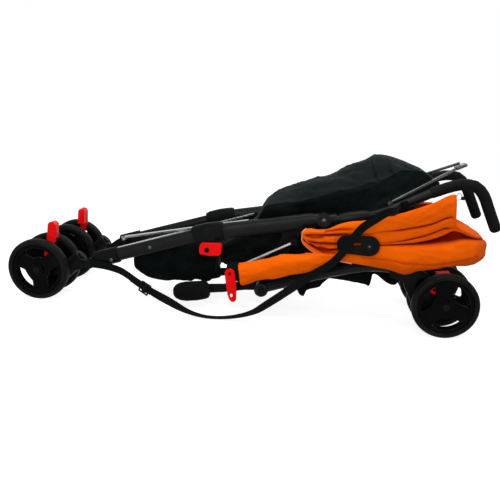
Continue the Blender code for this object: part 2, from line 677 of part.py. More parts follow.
def rear_leg():
    """The bent rear leg, from its eye at the bolt to its axle bracket."""
    route = [at(p, REAR_Y) for p in smooth_route(REAR_LEG_ROUTE, 2)]
    tube = swept(route, oval(2 * REAR_LEG_R, 2 * REAR_LEG_R, TUBE_SIDES))
    eye = across_rod(REAR_PIVOT, EYE_R, PLATE_FACE + GAP, REAR_Y + 0.0140, 16)
    bore = across_rod(REAR_PIVOT, PIVOT_PIN_R + PIN_GAP, 0.05, 0.12, 12)
    return cut(fused(tube, eye), bore)


PEDAL_PIVOT = Vector((0.878, 0.0, 0.0980))
PEDAL_PIN_R = 0.0030


def rear_bracket():
    """The axle bracket at the end of a rear leg, moulded round the rear axle."""
    outline = [(BRACKET_MOUTH - 0.006, 0.1490), (0.830, 0.1460), (0.862, 0.1300), (0.888, 0.1040)]
    outline += arc(REAR_AXLE.x, REAR_AXLE.z, 0.0190, 60, -100, 8)
    outline += [(0.872, 0.0480), (0.852, 0.0460), (0.838, 0.0560), (0.824, 0.0850), (0.812, 0.1080)]
    outline += [(BRACKET_MOUTH - 0.006, 0.1180)]
    window_outline = [(0.838, 0.0960), (0.850, 0.0900), (0.863, 0.1100), (0.852, 0.1220), (0.842, 0.1160)]
    body = plate(outline, REAR_Y - REAR_BRACKET_HALF, REAR_Y + REAR_BRACKET_HALF, [window_outline])
    pin = across_rod(PEDAL_PIVOT, PEDAL_PIN_R, REAR_Y, REAR_Y + REAR_BRACKET_HALF + 0.0036, 10)
    whole = fused(body, axle_pin(REAR_AXLE, REAR_Y), pin)
    route = [at(p, REAR_Y) for p in smooth_route(REAR_LEG_ROUTE, 2) if p.x > BRACKET_MOUTH - 0.03]
    route.append(route[-1] + (route[-1] - route[-2]).normalized() * GAP)
    return cut(whole, swept(route, oval(2 * REAR_LEG_R + 2 * GAP, 2 * REAR_LEG_R + 2 * GAP, TUBE_SIDES)))


def brake_pedal():
    """The red brake pedal beside the bracket, its pad over the axle bracket."""
    x = PEDAL_PIVOT.x
    z = PEDAL_PIVOT.z
    low_y = REAR_Y + REAR_BRACKET_HALF + GAP
    outline = arc(x, z, 0.0085, 150, 320, 6)
    outline += [(x + 0.022, z + 0.012), (x + 0.036, z + 0.030), (x + 0.030, z + 0.037),
                (x + 0.004, z + 0.030)]
    hole = [(x + a, z + b) for a, b in ring_points(PEDAL_PIN_R + PIN_GAP, 10)]
    arm = plate(outline, low_y, low_y + 0.0030, [hole])
    pad = [(x + 0.003, z + 0.0285), (x + 0.012, z + 0.0240), (x + 0.0340, z + 0.0270), (x + 0.036, z + 0.030),
           (x + 0.030, z + 0.037), (x + 0.004, z + 0.0335)]
    return fused(arm, plate(pad, REAR_Y - 0.012, low_y + 0.0025))


def leg_rest():
    """A leg rest arm with its rounded end pad."""
    x = REAR_PIVOT.x
    z = REAR_PIVOT.z
    low_y = PLATE_FACE - PLATE_THICKNESS - GAP - 0.0095
    high_y = PLATE_FACE - PLATE_THICKNESS - GAP
    outline = arc(x, z, 0.0120, -60, 120, 7)
    outline += [(0.470, 0.0690), (0.420, 0.0560), (0.360, 0.0500), (0.360, 0.0300), (0.420, 0.0380),
                (0.470, 0.0480)]
    arm = plate(outline, low_y, high_y)
    route = [Vector((0.3080, 0.0800, 0.0330)), Vector((0.3130, 0.0800, 0.0335)),
             Vector((0.3220, 0.0800, 0.0345)),
             Vector((0.3360, 0.0800, 0.0360)), Vector((0.3600, 0.0795, 0.0395)),
             Vector((0.3780, 0.0790, 0.0430)),
             Vector((0.3860, 0.0785, 0.0445)), Vector((0.3880, 0.0785, 0.0450))]
    pad = swept(route, oval(0.0440, 0.0360, 12, 2.6), scales=[0.42, 0.70, 0.90, 1.0, 1.0, 0.95, 0.86, 0.72])
    hole = across_rod(REAR_PIVOT, PIVOT_PIN_R + PIN_GAP, 0.03, 0.12, 12)
    return cut(fused(arm, pad), hole)


def armrest_rod():
    """The thin armrest rod, from its knob at the plate to the end fitting of the pad."""
    rod = round_rod(at(ROD_FOOT, ROD_Y), at(KNOB_POINT, ROD_Y), ROD_R, 12)
    knob = across_rod(KNOB_POINT, 0.0080, ROD_Y - ROD_R - 0.0019, ROD_Y + ROD_R + 0.0010, 16)
    outline = [(0.4300, 0.0880), (0.4330, 0.0820), (0.4620, 0.0790), (0.4660, 0.0830), (0.4600, 0.1200),
               (0.4560, 0.1240), (0.4380, 0.1200), (0.4320, 0.1140)]
    fitting = plate(outline, *FITTING_Y)
    pin = across_rod(HOOK_PIVOT, 0.0028, FITTING_Y[1] - 0.002, FITTING_Y[1] + 0.0068, 10)
    stub = round_rod(Vector((0.4600, 0.1050, 0.1010)), Vector((0.4810, 0.1190, 0.1080)), 0.0055, 12)
    return fused(rod, knob, fitting, pin, stub)


def storage_hook():
    """The red storage hook on the armrest fitting: a plate with the slot that catches its stud."""
    x = HOOK_PIVOT.x
    z = HOOK_PIVOT.z
    outline = arc(x, z, 0.0115, 0, 180, 7)
    outline += [(x - 0.0075, z - 0.0240), (x - 0.0030, z - 0.0480), (x + 0.0010, z - 0.0590),
                (x + 0.0065, z - 0.0645)]
    outline += [(x + 0.0125, z - 0.0645), (x + 0.0170, z - 0.0590), (x + 0.0165, z - 0.0400),
                (x + 0.0150, z - 0.0200)]
    hole = [(x + a, z + b) for a, b in ring_points(0.0028 + PIN_GAP, 10)]
    slot = [(x + 0.0055 + a * 0.7, z - 0.0500 + b) for a, b in ring_points(0.0045, 8)]
    return plate(outline, FITTING_Y[1] + GAP, FITTING_Y[1] + 0.0058, [hole, slot])


def armrest_pad():
    """The soft orange armrest pad, thick at its fitting and tapering to the canopy."""
    y = 0.1210
    route = [Vector((0.4655, y, 0.1000)), Vector((0.4680, y, 0.1005)), Vector((0.5000, y, 0.1115)),
             Vector((0.5400, y, 0.1245)), Vector((0.5800, y, 0.1335)), Vector((0.6150, y, 0.1410)),
             Vector((0.6420, y, 0.1475)), Vector((0.6530, y, 0.1500))]
    body = swept(route, oval(0.0450, 0.0370, 16, 2.4), scales=[0.90, 1.0, 1.0, 0.98, 0.94, 0.80, 0.50, 0.22])
    hollow = round_rod(Vector((0.4600, 0.1050, 0.1010)), Vector((0.4816, 0.1194, 0.1082)), 0.0055 + GAP, 12)
    return cut(body, hollow)


both_sides("pivot_plate", pivot_plate(), BLACK_PLASTIC)
both_sides("rear_leg", rear_leg(), BLACK_TUBE, at(REAR_PIVOT, REAR_Y))
both_sides("rear_bracket", rear_bracket(), BLACK_PLASTIC, at(REAR_PIVOT, REAR_Y))
both_sides("brake_pedal", brake_pedal(), RED_PLASTIC, at(PEDAL_PIVOT, REAR_Y))
both_sides("leg_rest", leg_rest(), BLACK_PLASTIC, at(REAR_PIVOT, SIDE_Y))
both_sides("armrest_rod", armrest_rod(), BARE_METAL)
both_sides("armrest_pad", armrest_pad(), ORANGE_CLOTH)
piece("storage_hook", mirrored(storage_hook()), RED_PLASTIC, at(HOOK_PIVOT, -FITTING_Y[1]))


# Crossing brace bars and handle struts

BRACE_LENGTH = 0.353
BRACE_FOLDED = math.radians(18.35)


def brace_bar(side, layer):
    """A flat brace bar, pinned to one lower joint and reaching towards the other side."""
    foot = at(BRACE_POINT, side * BRACE_Y) + BRACE_UP * GAP
    ahead = BRACE_LINE * math.cos(BRACE_FOLDED) - Vector((0, side, 0)) * math.sin(BRACE_FOLDED)
    aside = BRACE_UP.cross(ahead)
    low = layer * BAR_STEP
    bm = bmesh.new()
    outline = []
    for k in range(9):
        angle = math.pi / 2 + math.pi * k / 8
        outline.append(ahead * 0.0070 * math.cos(angle) + aside * 0.0070 * math.sin(angle))
    for k in range(9):
        angle = -math.pi / 2 + math.pi * k / 8
        outline.append(ahead * (BRACE_LENGTH + 0.0060 * math.cos(angle)) + aside * 0.0060 * math.sin(angle))
    face = bm.faces.new([bm.verts.new(foot + BRACE_UP * low + p) for p in outline])
    raised = bmesh.ops.extrude_face_region(bm, geom=[face], use_keep_orig=True)
    top = [item for item in raised["geom"] if isinstance(item, bmesh.types.BMVert)]
    bmesh.ops.translate(bm, vec=BRACE_UP * BAR_THICKNESS, verts=top)
    bar = finished(bm, "brace_bar")
    if layer:
        bar = fused(bar, round_rod(foot, foot + BRACE_UP * (low + 0.001), 0.0066, 14))
    bore = round_rod(foot - BRACE_UP * 0.01, foot + BRACE_UP * 0.03, BRACE_PIN_R + PIN_GAP, 10)
    return cut(bar, bore)


STRUT_FOLDED = math.asin(STRUT_Y / STRUT_LENGTH)


def handle_strut(side, layer):
    """A round strut from a handle tube to the apex. The lower one carries the apex bracket."""
    foot = at(STRUT_FOOT, side * STRUT_Y) + STRUT_UP * (GAP + STRUT_RIM + STRUT_R + layer * STRUT_STEP)
    ahead = STRUT_LINE * math.cos(STRUT_FOLDED) - Vector((0, side, 0)) * math.sin(STRUT_FOLDED)
    rod = round_rod(foot, foot + ahead * STRUT_LENGTH, STRUT_R, 10)
    base = foot - STRUT_UP * (STRUT_RIM + STRUT_R + layer * STRUT_STEP)
    eye = round_rod(base, foot + STRUT_UP * (STRUT_R + STRUT_RIM), 0.0062, 14)
    bore = round_rod(base - STRUT_UP * 0.01, foot + STRUT_UP * 0.02, 0.0022 + PIN_GAP, 10)
    parts = [rod, eye]
    if layer == 0:
        apex = foot + ahead * (STRUT_LENGTH + 0.001)
        ends = [apex + STRUT_LINE * 0.010, apex - STRUT_LINE * 0.012]
        parts.append(swept(ends, oval(2 * (STRUT_R + STRUT_RIM), 0.030, 12, 5.0)))
    return cut(fused(*parts), bore)


for side, layer in ((LEFT, 0), (RIGHT, 1)):
    piece("brace_bar_" + SIDE_NAMES[side], brace_bar(side, layer),
          BARE_METAL, at(BRACE_POINT, side * BRACE_Y))
    piece("handle_strut_" + SIDE_NAMES[side], handle_strut(side, layer),
          BARE_METAL, at(STRUT_FOOT, side * STRUT_Y))


# Canopy

CANOPY_FRONT_X = 0.595
CANOPY_BACK_X = 0.9560
CANOPY_CORNER_R = 0.060
CANOPY_CORNER_STRETCH = 1.15
WING_PLEATS = 2
LOBE_OUT = 0.0110
LOBE_IN = 0.0100


def canopy_bracket():
    """A slotted hinge bracket of the canopy, round at its pivot."""
    x = CANOPY_PIVOT.x
    z = CANOPY_PIVOT.z
    outline = arc(x, z, 0.0215, -90, 90, 9) + arc(x - 0.0480, z, 0.0195, 90, 270, 9)
    slot = arc(x - 0.020, z + 0.001, 0.0040, -90, 90, 4) + arc(x - 0.041, z + 0.001, 0.0040, 90, 270, 4)
    hole = [(x + a, z + b) for a, b in ring_points(CANOPY_PIN_R + PIN_GAP, 12)]
    return plate(outline, CANOPY_BRACKET_Y, CANOPY_BRACKET_Y + CANOPY_BRACKET_THICKNESS, [hole, slot])


def between(x, stations):
    """A height read from (x, height) stations, eased between them."""
    for (x0, z0), (x1, z1) in zip(stations, stations[1:]):
        if x <= x1:
            t = max(0.0, (x - x0) / (x1 - x0))
            return z0 + (z1 - z0) * t * t * (3 - 2 * t)
    return stations[-1][1]


NEAR_TOP = [(0.595, 0.1900), (0.613, 0.2080), (0.662, 0.2220), (0.715, 0.2340), (0.787, 0.2530),
            (0.843, 0.2770),
            (0.893, 0.3000), (0.917, 0.2360), (0.945, 0.2180), (0.990, 0.2020)]
FAR_TOP = [(0.595, 0.1900), (0.613, 0.2040), (0.662, 0.2160), (0.715, 0.2260), (0.787, 0.2400),
           (0.893, 0.2500),
           (0.917, 0.2330), (0.945, 0.2180), (0.990, 0.2020)]
LOBE_TOP = [(0.595, 0.1850), (0.662, 0.1860), (0.720, 0.1880), (0.760, 0.1900), (0.880, 0.2080),
            (0.917, 0.2300),
            (0.945, 0.2160), (0.990, 0.2010)]
HOOD_LOW = [(0.595, 0.1780), (0.612, 0.1700), (0.640, 0.1640), (0.665, 0.1540), (0.691, 0.1480),
            (0.750, 0.1430),
            (0.813, 0.1320), (0.861, 0.1430), (0.919, 0.1560), (0.990, 0.1560)]
LOBE_SWELL = [(0.765, 0.0), (0.830, 1.0), (0.990, 1.0)]
LOBE_INNER = [(0.845, 0.0), (0.900, 1.0), (0.990, 1.0)]


def canopy_route():
    """The plan of the folded hood: along one side, round the back and along the other side."""
    corner_x = CANOPY_BACK_X - CANOPY_CORNER_R
    corner_y = WING_Y - CANOPY_CORNER_R
    points = [Vector((CANOPY_FRONT_X + (corner_x - CANOPY_FRONT_X) * k / 12, WING_Y, 0)) for k in range(12)]
    for k in range(6):
        angle = math.pi / 2 * (1 - k / 5)
        points.append(Vector((corner_x + CANOPY_CORNER_R * CANOPY_CORNER_STRETCH * math.cos(angle),
                              corner_y + CANOPY_CORNER_R * math.sin(angle), 0)))
    points.append(Vector((points[-1].x + 0.004, 0, 0)))
    points += [Vector((p.x, -p.y, 0)) for p in reversed(points[:-1])]
    return points


def canopy():
    """The folded hood as one wall round the handles: a pleated wing over a fat rolled lobe."""
    route = canopy_route()
    rings = []
    for i, point in enumerate(route):
        ahead = (route[min(i + 1, len(route) - 1)] - route[max(i - 1, 0)]).normalized()
        outwards = Vector((-ahead.y, ahead.x, 0))
        inwards = -outwards * WING_HALF * 0.8
        low = between(point.x, HOOD_LOW)
        roll = between(point.x, LOBE_TOP)
        top = between(point.x, FAR_TOP if point.y > 0 else NEAR_TOP)
        fat = between(point.x, LOBE_SWELL)
        ring = []
        for k in range(5):
            share = k / 4
            swell = math.sin(math.pi * share)
            out = WING_HALF * (0.35 + 0.65 * swell) + LOBE_OUT * fat * swell
            ring.append(point + outwards * out + Vector((0, 0, low + (roll - low) * share)))
        steps = 2 * WING_PLEATS
        for k in range(1, steps + 1):
            share = k / steps
            out = WING_HALF * (0.25 + (WING_SWELL - 0.25) * abs(math.sin(math.pi * WING_PLEATS * share)))
            ring.append(point + outwards * out + Vector((0, 0, roll + (top - roll) * share)))
        ring.append(point + inwards + Vector((0, 0, low + (top - low) * 0.97)))
        deep = inwards - outwards * LOBE_IN * between(point.x, LOBE_INNER)
        ring.append(point + deep + Vector((0, 0, (low + roll) / 2)))
        ring.append(point + inwards + Vector((0, 0, low + (top - low) * 0.03)))
        rings.append(ring)
    bore = across_rod(CANOPY_PIVOT, CANOPY_BOSS_R + GAP, -0.2, 0.2, 16)
    return cut(skinned(rings, "canopy"), bore)


both_sides("canopy_bracket", canopy_bracket(), BLACK_PLASTIC, at(CANOPY_PIVOT, CANOPY_BRACKET_Y))
piece("canopy", canopy(), ORANGE_CLOTH, CANOPY_PIVOT)


# Black fabric between the sides


def bolster(stations, squareness=2.6, sides=14, ripple=0.0, waves=0):
    """A soft body lofted along X through (x, low, top, half width) stations, with folds across it."""
    rings = []
    dense = smooth_route([Vector((low, top, half)) for x, low, top, half in stations], 2)
    places = smooth_route([Vector((x, 0, 0)) for x, low, top, half in stations], 2)
    for place, (low, top, half) in zip(places, dense):
        fold = ripple * math.sin(waves * 2 * math.pi * (place.x - stations[0][0])) if waves else 0.0
        middle = (low + top) / 2
        ring = []
        for across, up in oval(top - low, 2 * half, sides, squareness):
            lift = fold if up > 0 else 0.0
            ring.append(Vector((place.x, across, middle + up + lift)))
        rings.append(ring)
    return skinned(rings, "bolster")


SEAT_STATIONS = [(0.4040, 0.1180, 0.1480, 0.036), (0.4120, 0.1060, 0.1600, 0.0600),
                 (0.4480, 0.0960, 0.1800, 0.0680),
                 (0.4780, 0.1020, 0.1960, 0.0685), (0.4980, 0.1080, 0.2380, 0.0685),
                 (0.5350, 0.1240, 0.2700, 0.0690),
                 (0.5750, 0.1380, 0.2900, 0.0710), (0.6500, 0.1560, 0.3190, 0.069),
                 (0.7000, 0.1640, 0.3430, 0.069),
                 (0.7400, 0.1760, 0.3620, 0.068), (0.7720, 0.1980, 0.3570, 0.062),
                 (0.8000, 0.2250, 0.3490, 0.046),
                 (0.8260, 0.2520, 0.3410, 0.034), (0.8500, 0.2780, 0.3310, 0.026),
                 (0.8720, 0.2960, 0.3200, 0.016),
                 (0.8790, 0.3030, 0.3150, 0.008)]
BASKET_STATIONS = [(0.5250, 0.0820, 0.0960, 0.040), (0.5310, 0.0660, 0.1120, 0.0702),
                   (0.5700, 0.0560, 0.1300, 0.0700),
                   (0.6000, 0.0560, 0.1400, 0.067), (0.6400, 0.0740, 0.1480, 0.066),
                   (0.6900, 0.0960, 0.1540, 0.066),
                   (0.7200, 0.0980, 0.1560, 0.066), (0.7450, 0.0880, 0.1560, 0.066),
                   (0.7660, 0.1020, 0.1560, 0.066),
                   (0.7880, 0.0930, 0.1540, 0.066), (0.8040, 0.1000, 0.1500, 0.060),
                   (0.8080, 0.1080, 0.1420, 0.040)]
CALF_STATIONS = [(0.2050, 0.0960, 0.1060, 0.050), (0.2120, 0.0800, 0.1260, 0.0730),
                 (0.2500, 0.0660, 0.1370, 0.0768),
                 (0.2850, 0.0580, 0.1440, 0.0757), (0.3050, 0.0530, 0.1480, 0.0570),
                 (0.3500, 0.0500, 0.1480, 0.0540),
                 (0.3850, 0.0560, 0.1500, 0.0540), (0.3950, 0.0720, 0.1440, 0.052),
                 (0.3990, 0.0900, 0.1300, 0.034)]

SEAT_STEP_X = 0.4780
BRACE_ROOM = 0.0110
BRACE_END_X = BRACE_POINT.x + BRACE_LINE.x * BRACE_LENGTH * math.cos(BRACE_FOLDED)


def behind_braces(stations):
    """The seat's stations, with the step in its front kept clear of the ends of the brace bars."""
    back = stations[-1][0]
    move = max(0.0, BRACE_END_X + BRACE_ROOM - SEAT_STEP_X)
    return [(x + move * min(1.0, (back - x) / (back - SEAT_STEP_X)), *rest) for x, *rest in stations]


piece("seat_fabric", bolster(behind_braces(SEAT_STATIONS), 2.8, 16, 0.0022, 18), BLACK_CLOTH)
piece("basket_fabric", bolster(BASKET_STATIONS), BLACK_CLOTH)
piece("calf_panel", bolster(CALF_STATIONS, 9.0), BLACK_CLOTH)


# Carry strap

STRAP_WIDTH = 0.018
STRAP_THICKNESS = 0.0016
# Each stop is (x, y, z, lean). A lean of 0 holds the webbing upright and 1 lays it flat.
STRAP_STOPS = [(0.8050, -0.0932, 0.2750, 0.0), (0.7900, -0.0960, 0.2700, 0.0), (0.7760, -0.1225, 0.2650, 0.0),
               (0.7580, -0.1380, 0.2410, 0.0), (0.7260, -0.1440, 0.2060, 0.0), (0.6900, -0.1455, 0.1700, 0.0),
               (0.6580, -0.1460, 0.1370, 0.0), (0.6200, -0.1450, 0.1030, 0.0), (0.5850, -0.1440, 0.0840, 0.0),
               (0.5560, -0.1430, 0.0700, 0.0), (0.5300, -0.1430, 0.0480, 0.1), (0.4950, -0.1430, 0.0240, 0.4),
               (0.4500, -0.1420, 0.0090, 0.8), (0.4000, -0.1410, 0.0040, 1.0), (0.3550, -0.1400, 0.0120, 0.5),
               (0.3100, -0.1390, 0.0320, 0.1), (0.2700, -0.1360, 0.0500, 0.0), (0.2350, -0.1270, 0.0660, 0.0),
               (0.1950, -0.1120, 0.0820, 0.0), (0.1550, -0.1025, 0.0880, 0.0), (0.1180, -0.1006, 0.0900, 0.0)]
STRAP_STEPS = 2
BUCKLE_STOP = 16


def strap_line():
    """The smooth route of the strap, and the two half axes of its section at each point."""
    stops = smooth_route([Vector(stop) for stop in STRAP_STOPS], STRAP_STEPS)
    route = [Vector(stop[:3]) for stop in stops]
    axes = []
    for i, stop in enumerate(stops):
        ahead = (route[min(i + 1, len(route) - 1)] - route[max(i - 1, 0)]).normalized()
        through = ahead.cross(Vector((0, 0, 1))).normalized()
        wide = through.cross(ahead).normalized()
        lean = min(1.0, max(0.0, stop[3])) * math.pi / 2
        axes.append(((wide * math.cos(lean) + through * math.sin(lean)) * STRAP_WIDTH / 2,
                     (through * math.cos(lean) - wide * math.sin(lean)) * STRAP_THICKNESS / 2))
    return route, axes


def band(route, axes, room=0.0):
    """A flat band along the route, or with room to spare the channel that it passes through."""
    rings = []
    for point, (across, thick) in zip(route, axes):
        wide = across * (1 + 2 * room / STRAP_WIDTH)
        deep = thick * (1 + 2 * room / STRAP_THICKNESS)
        rings.append([point + wide + deep, point + wide - deep, point - wide - deep, point - wide + deep])
    return skinned(rings, "strap")


def strap_buckle():
    """The slide buckle, a frame whose mouth the webbing passes through."""
    route, axes = strap_line()
    middle = BUCKLE_STOP * STRAP_STEPS
    centre = route[middle]
    ahead = (route[middle + 1] - route[middle - 1]).normalized()
    body = swept([centre - ahead * 0.0110, centre + ahead * 0.0110], oval(0.0095, 0.0270, 12, 4.0),
                 axes[middle][0])
    near = slice(middle - 3, middle + 4)
    return cut(body, band(route[near], axes[near], 0.0008))


piece("carry_strap", band(*strap_line()), BLACK_CLOTH)
piece("strap_buckle", strap_buckle(), BLACK_PLASTIC)
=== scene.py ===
# %% [markdown]
# # A folded umbrella stroller
#
# The stroller lies folded on its eight wheels. Its frame, wheels and levers come from the CAD model at their
# real size. This lesson gives each of them its finish, a foam one for the grips, and models what the CAD only
# blocks out: turned tyres and rims, the folded hood, padded armrests, loose black cloth and the webbing of the
# carry strap.

# %% Load the frame
import json
import math

import bmesh
import bpy
from mathutils import Matrix, Vector, noise


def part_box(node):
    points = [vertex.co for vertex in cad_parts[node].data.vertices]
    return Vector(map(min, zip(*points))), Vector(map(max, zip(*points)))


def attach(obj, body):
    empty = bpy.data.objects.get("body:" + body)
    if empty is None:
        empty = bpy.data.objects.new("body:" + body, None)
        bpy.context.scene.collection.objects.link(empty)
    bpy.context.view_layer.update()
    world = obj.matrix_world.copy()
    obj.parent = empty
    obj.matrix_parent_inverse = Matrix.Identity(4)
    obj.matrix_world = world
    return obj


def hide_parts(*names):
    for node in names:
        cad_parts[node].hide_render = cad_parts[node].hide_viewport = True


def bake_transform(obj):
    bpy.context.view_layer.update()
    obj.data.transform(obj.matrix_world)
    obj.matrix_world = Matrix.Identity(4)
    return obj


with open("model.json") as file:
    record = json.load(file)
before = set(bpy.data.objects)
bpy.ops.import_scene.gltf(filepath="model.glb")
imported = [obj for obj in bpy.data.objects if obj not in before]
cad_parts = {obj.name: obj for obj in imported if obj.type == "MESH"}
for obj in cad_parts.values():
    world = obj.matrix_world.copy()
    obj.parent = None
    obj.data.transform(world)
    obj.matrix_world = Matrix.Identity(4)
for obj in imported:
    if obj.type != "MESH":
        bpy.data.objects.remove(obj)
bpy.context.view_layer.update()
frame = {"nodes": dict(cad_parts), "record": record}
NODES = frame["nodes"]
print("CAD nodes:", len(NODES))

# %% [markdown]
# The drawing of the stroller measures lengths from the front axle. One helper turns such a place into the
# frame's own coordinates, so that every number below reads as a distance along the real stroller.

# %% Places along the stroller
front_low, front_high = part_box("front_outer_tyre_left")
AXLE_X = (front_low.x + front_high.x) / 2


def at(along, across, up):
    """The point that far behind the front axle, across to the right, and above the floor."""
    return Vector((AXLE_X + along, across, up))


print("front axle at x =", round(AXLE_X, 4))

# %% [markdown]
# ## Camera and room
#
# The camera stands a little over a metre from the left side and looks slightly down. Its place and turn were
# found from the wheel outlines, so its numbers are measurements and not a choice. The room is a pale floor
# and a soft light from above, with weaker ones in front and behind to draw the edges of the black pieces.

# %% Camera
CAMERA_YAW = math.radians(6.05)
CAMERA_PITCH = math.radians(15.0)
CAMERA_ROLL = math.radians(3.05)
SENSOR = 36.0
FOCAL_PIXELS = 560
PICTURE_PIXELS = 500

lens = bpy.data.cameras.new("camera")
lens.sensor_width = SENSOR
lens.lens = SENSOR * FOCAL_PIXELS / PICTURE_PIXELS
camera = bpy.data.objects.new("camera", lens)
bpy.context.scene.collection.objects.link(camera)
forward = Vector((-math.sin(CAMERA_YAW), math.cos(CAMERA_YAW), -math.tan(CAMERA_PITCH))).normalized()
level = Vector((math.cos(CAMERA_YAW), math.sin(CAMERA_YAW), 0))
upright = level.cross(forward)
to_right = level * math.cos(CAMERA_ROLL) + upright * math.sin(CAMERA_ROLL)
to_top = upright * math.cos(CAMERA_ROLL) - level * math.sin(CAMERA_ROLL)
turned_to_view = Matrix((to_right, to_top, -forward)).transposed().to_4x4()
camera.matrix_world = Matrix.Translation(at(0.605, -1.272, 0.467)) @ turned_to_view
bpy.context.scene.camera = camera

# %% [markdown]
# The floor, the world and all finishes are made of shader nodes. A few helpers keep that short: each one adds
# a node, sets or links its inputs and hands back its output.

# %% Helpers for node trees


def feed(tree, target, inputs):
    """Sets a node's inputs. Each is given a value, or another node's output to link to it."""
    for key, value in inputs.items():
        if isinstance(value, bpy.types.NodeSocket):
            tree.links.new(value, target.inputs[key])
        else:
            target.inputs[key].default_value = value
    return target


def node(tree, kind, inputs=None, **settings):
    """A node with its settings and its inputs."""
    made = tree.nodes.new(kind)
    for key, value in settings.items():
        setattr(made, key, value)
    return feed(tree, made, inputs or {})


def maths(tree, operation, first, second=0.0):
    """The output of a Math node."""
    return node(tree, "ShaderNodeMath", {0: first, 1: second}, operation=operation).outputs[0]


def ranged(tree, value, start=0.0, end=1.0, low=0.0, high=1.0):
    """The value, which runs from start to end, turned into one from low to high."""
    return node(tree, "ShaderNodeMapRange", {"Value": value, "From Min": start, "From Max": end,
                                             "To Min": low, "To Max": high}).outputs["Result"]


def mixed(tree, share, first, second, blend="MIX"):
    """The output of a node that mixes two colours."""
    return node(tree, "ShaderNodeMix", {0: share, 6: first, 7: second}, data_type="RGBA",
                blend_type=blend).outputs[2]


def noisy(tree, scale, detail, **inputs):
    """An uneven value from 0 to 1 all over the object. The scale is in waves per metre."""
    place = node(tree, "ShaderNodeTexCoord").outputs["Object"]
    return node(tree, "ShaderNodeTexNoise", {"Vector": place, "Scale": scale, "Detail": detail,
                                             **inputs}).outputs["Fac"]


def fresh_material(name):
    """A new material, with its node tree and its Principled shader."""
    made = bpy.data.materials.new(name)
    made.use_nodes = True
    return made, made.node_tree, made.node_tree.nodes["Principled BSDF"]


def as_object(name, bm, finish, sharp=40):
    """The bmesh as an object with a finish, smooth except over edges sharper than that many degrees."""
    mesh = bpy.data.meshes.new(name)
    bm.to_mesh(mesh)
    bm.free()
    mesh.shade_smooth()
    mesh.set_sharp_from_angle(angle=math.radians(sharp))
    mesh.materials.append(finish)
    made = bpy.data.objects.new(name, mesh)
    bpy.context.scene.collection.objects.link(made)
    return made


# %% Floor, world and lamps
bpy.context.scene.view_settings.view_transform = "Standard"
WHITE = (1, 1, 1, 1)


def seen_white(tree, for_light, for_sight):
    """A strength for what lights the object, and another for what the camera and shiny surfaces see of it."""
    rays = node(tree, "ShaderNodeLightPath").outputs
    mirrored = maths(tree, "MAXIMUM", rays["Is Camera Ray"], rays["Is Glossy Ray"])
    seen = maths(tree, "MAXIMUM", mirrored, rays["Is Transmission Ray"])
    return ranged(tree, seen, low=for_light, high=for_sight)


floor_finish, tree, shader = fresh_material("pale_floor")
feed(tree, shader, {"Base Color": (0.42, 0.42, 0.42, 1), "Roughness": 0.9, "Specular IOR Level": 0.0,
                    "Emission Color": WHITE, "Emission Strength": seen_white(tree, 0.0, 0.86)})
bm = bmesh.new()
bmesh.ops.create_grid(bm, x_segments=1, y_segments=1, size=9.0)
as_object("floor", bm, floor_finish)

world = bpy.data.worlds.new("studio")
world.use_nodes = True
bpy.context.scene.world = world
tree = world.node_tree
feed(tree, tree.nodes["Background"], {"Color": WHITE, "Strength": seen_white(tree, 0.34, 1.0)})


def softbox(name, place, target, size, power):
    """A square area lamp at a place, aimed at a target."""
    lamp = bpy.data.lights.new(name, "AREA")
    lamp.shape = "SQUARE"
    lamp.size = size
    lamp.energy = power
    holder = bpy.data.objects.new(name, lamp)
    holder.location = place
    holder.rotation_euler = (target - place).to_track_quat("-Z", "Y").to_euler()
    bpy.context.scene.collection.objects.link(holder)


middle = at(0.5, 0, 0.12)
softbox("top_light", at(0.55, -0.3, 1.9), middle, 1.3, 26)
softbox("front_light", at(0.25, -1.9, 0.75), middle, 1.0, 14)
softbox("back_light", at(0.85, 1.6, 1.3), middle, 1.2, 10)

# %% [markdown]
# ## Finishes
#
# Four effects return all over the stroller: a fine moulded grain, edges painted a little paler, the crossing
# threads of cloth and the soft patchiness of anything that has been outdoors. The paler edges stand for rubbing
# by use, and on the wheels, where they are turned up, they are painted highlight lines. Each effect is a shader
# node group with named inputs, built once and placed in every material with that material's own values.

# %% A helper for effects
BLACK = (0, 0, 0, 1)


def effect(name, inputs, outputs):
    """A new node group with named inputs (name: value) and outputs (name: kind), and its two end nodes."""
    group = bpy.data.node_groups.new(name, "ShaderNodeTree")
    for label, value in inputs.items():
        kind = "NodeSocketFloat" if isinstance(value, float) else "NodeSocketColor"
        group.interface.new_socket(label, in_out="INPUT", socket_type=kind).default_value = value
    for label, kind in outputs.items():
        group.interface.new_socket(label, in_out="OUTPUT", socket_type="NodeSocket" + kind)
    return group, node(group, "NodeGroupInput").outputs, node(group, "NodeGroupOutput")


# %% Moulded grain
grain, given, result = effect("moulded_grain", {"Scale": 900.0, "Low": 0.4, "High": 0.5},
                              {"Height": "Float", "Roughness": "Float"})
gloss = ranged(grain, noisy(grain, 38.0, 4.0), 0.35, 0.65, given["Low"], given["High"])
feed(grain, result, {"Height": noisy(grain, given["Scale"], 3.0), "Roughness": gloss})
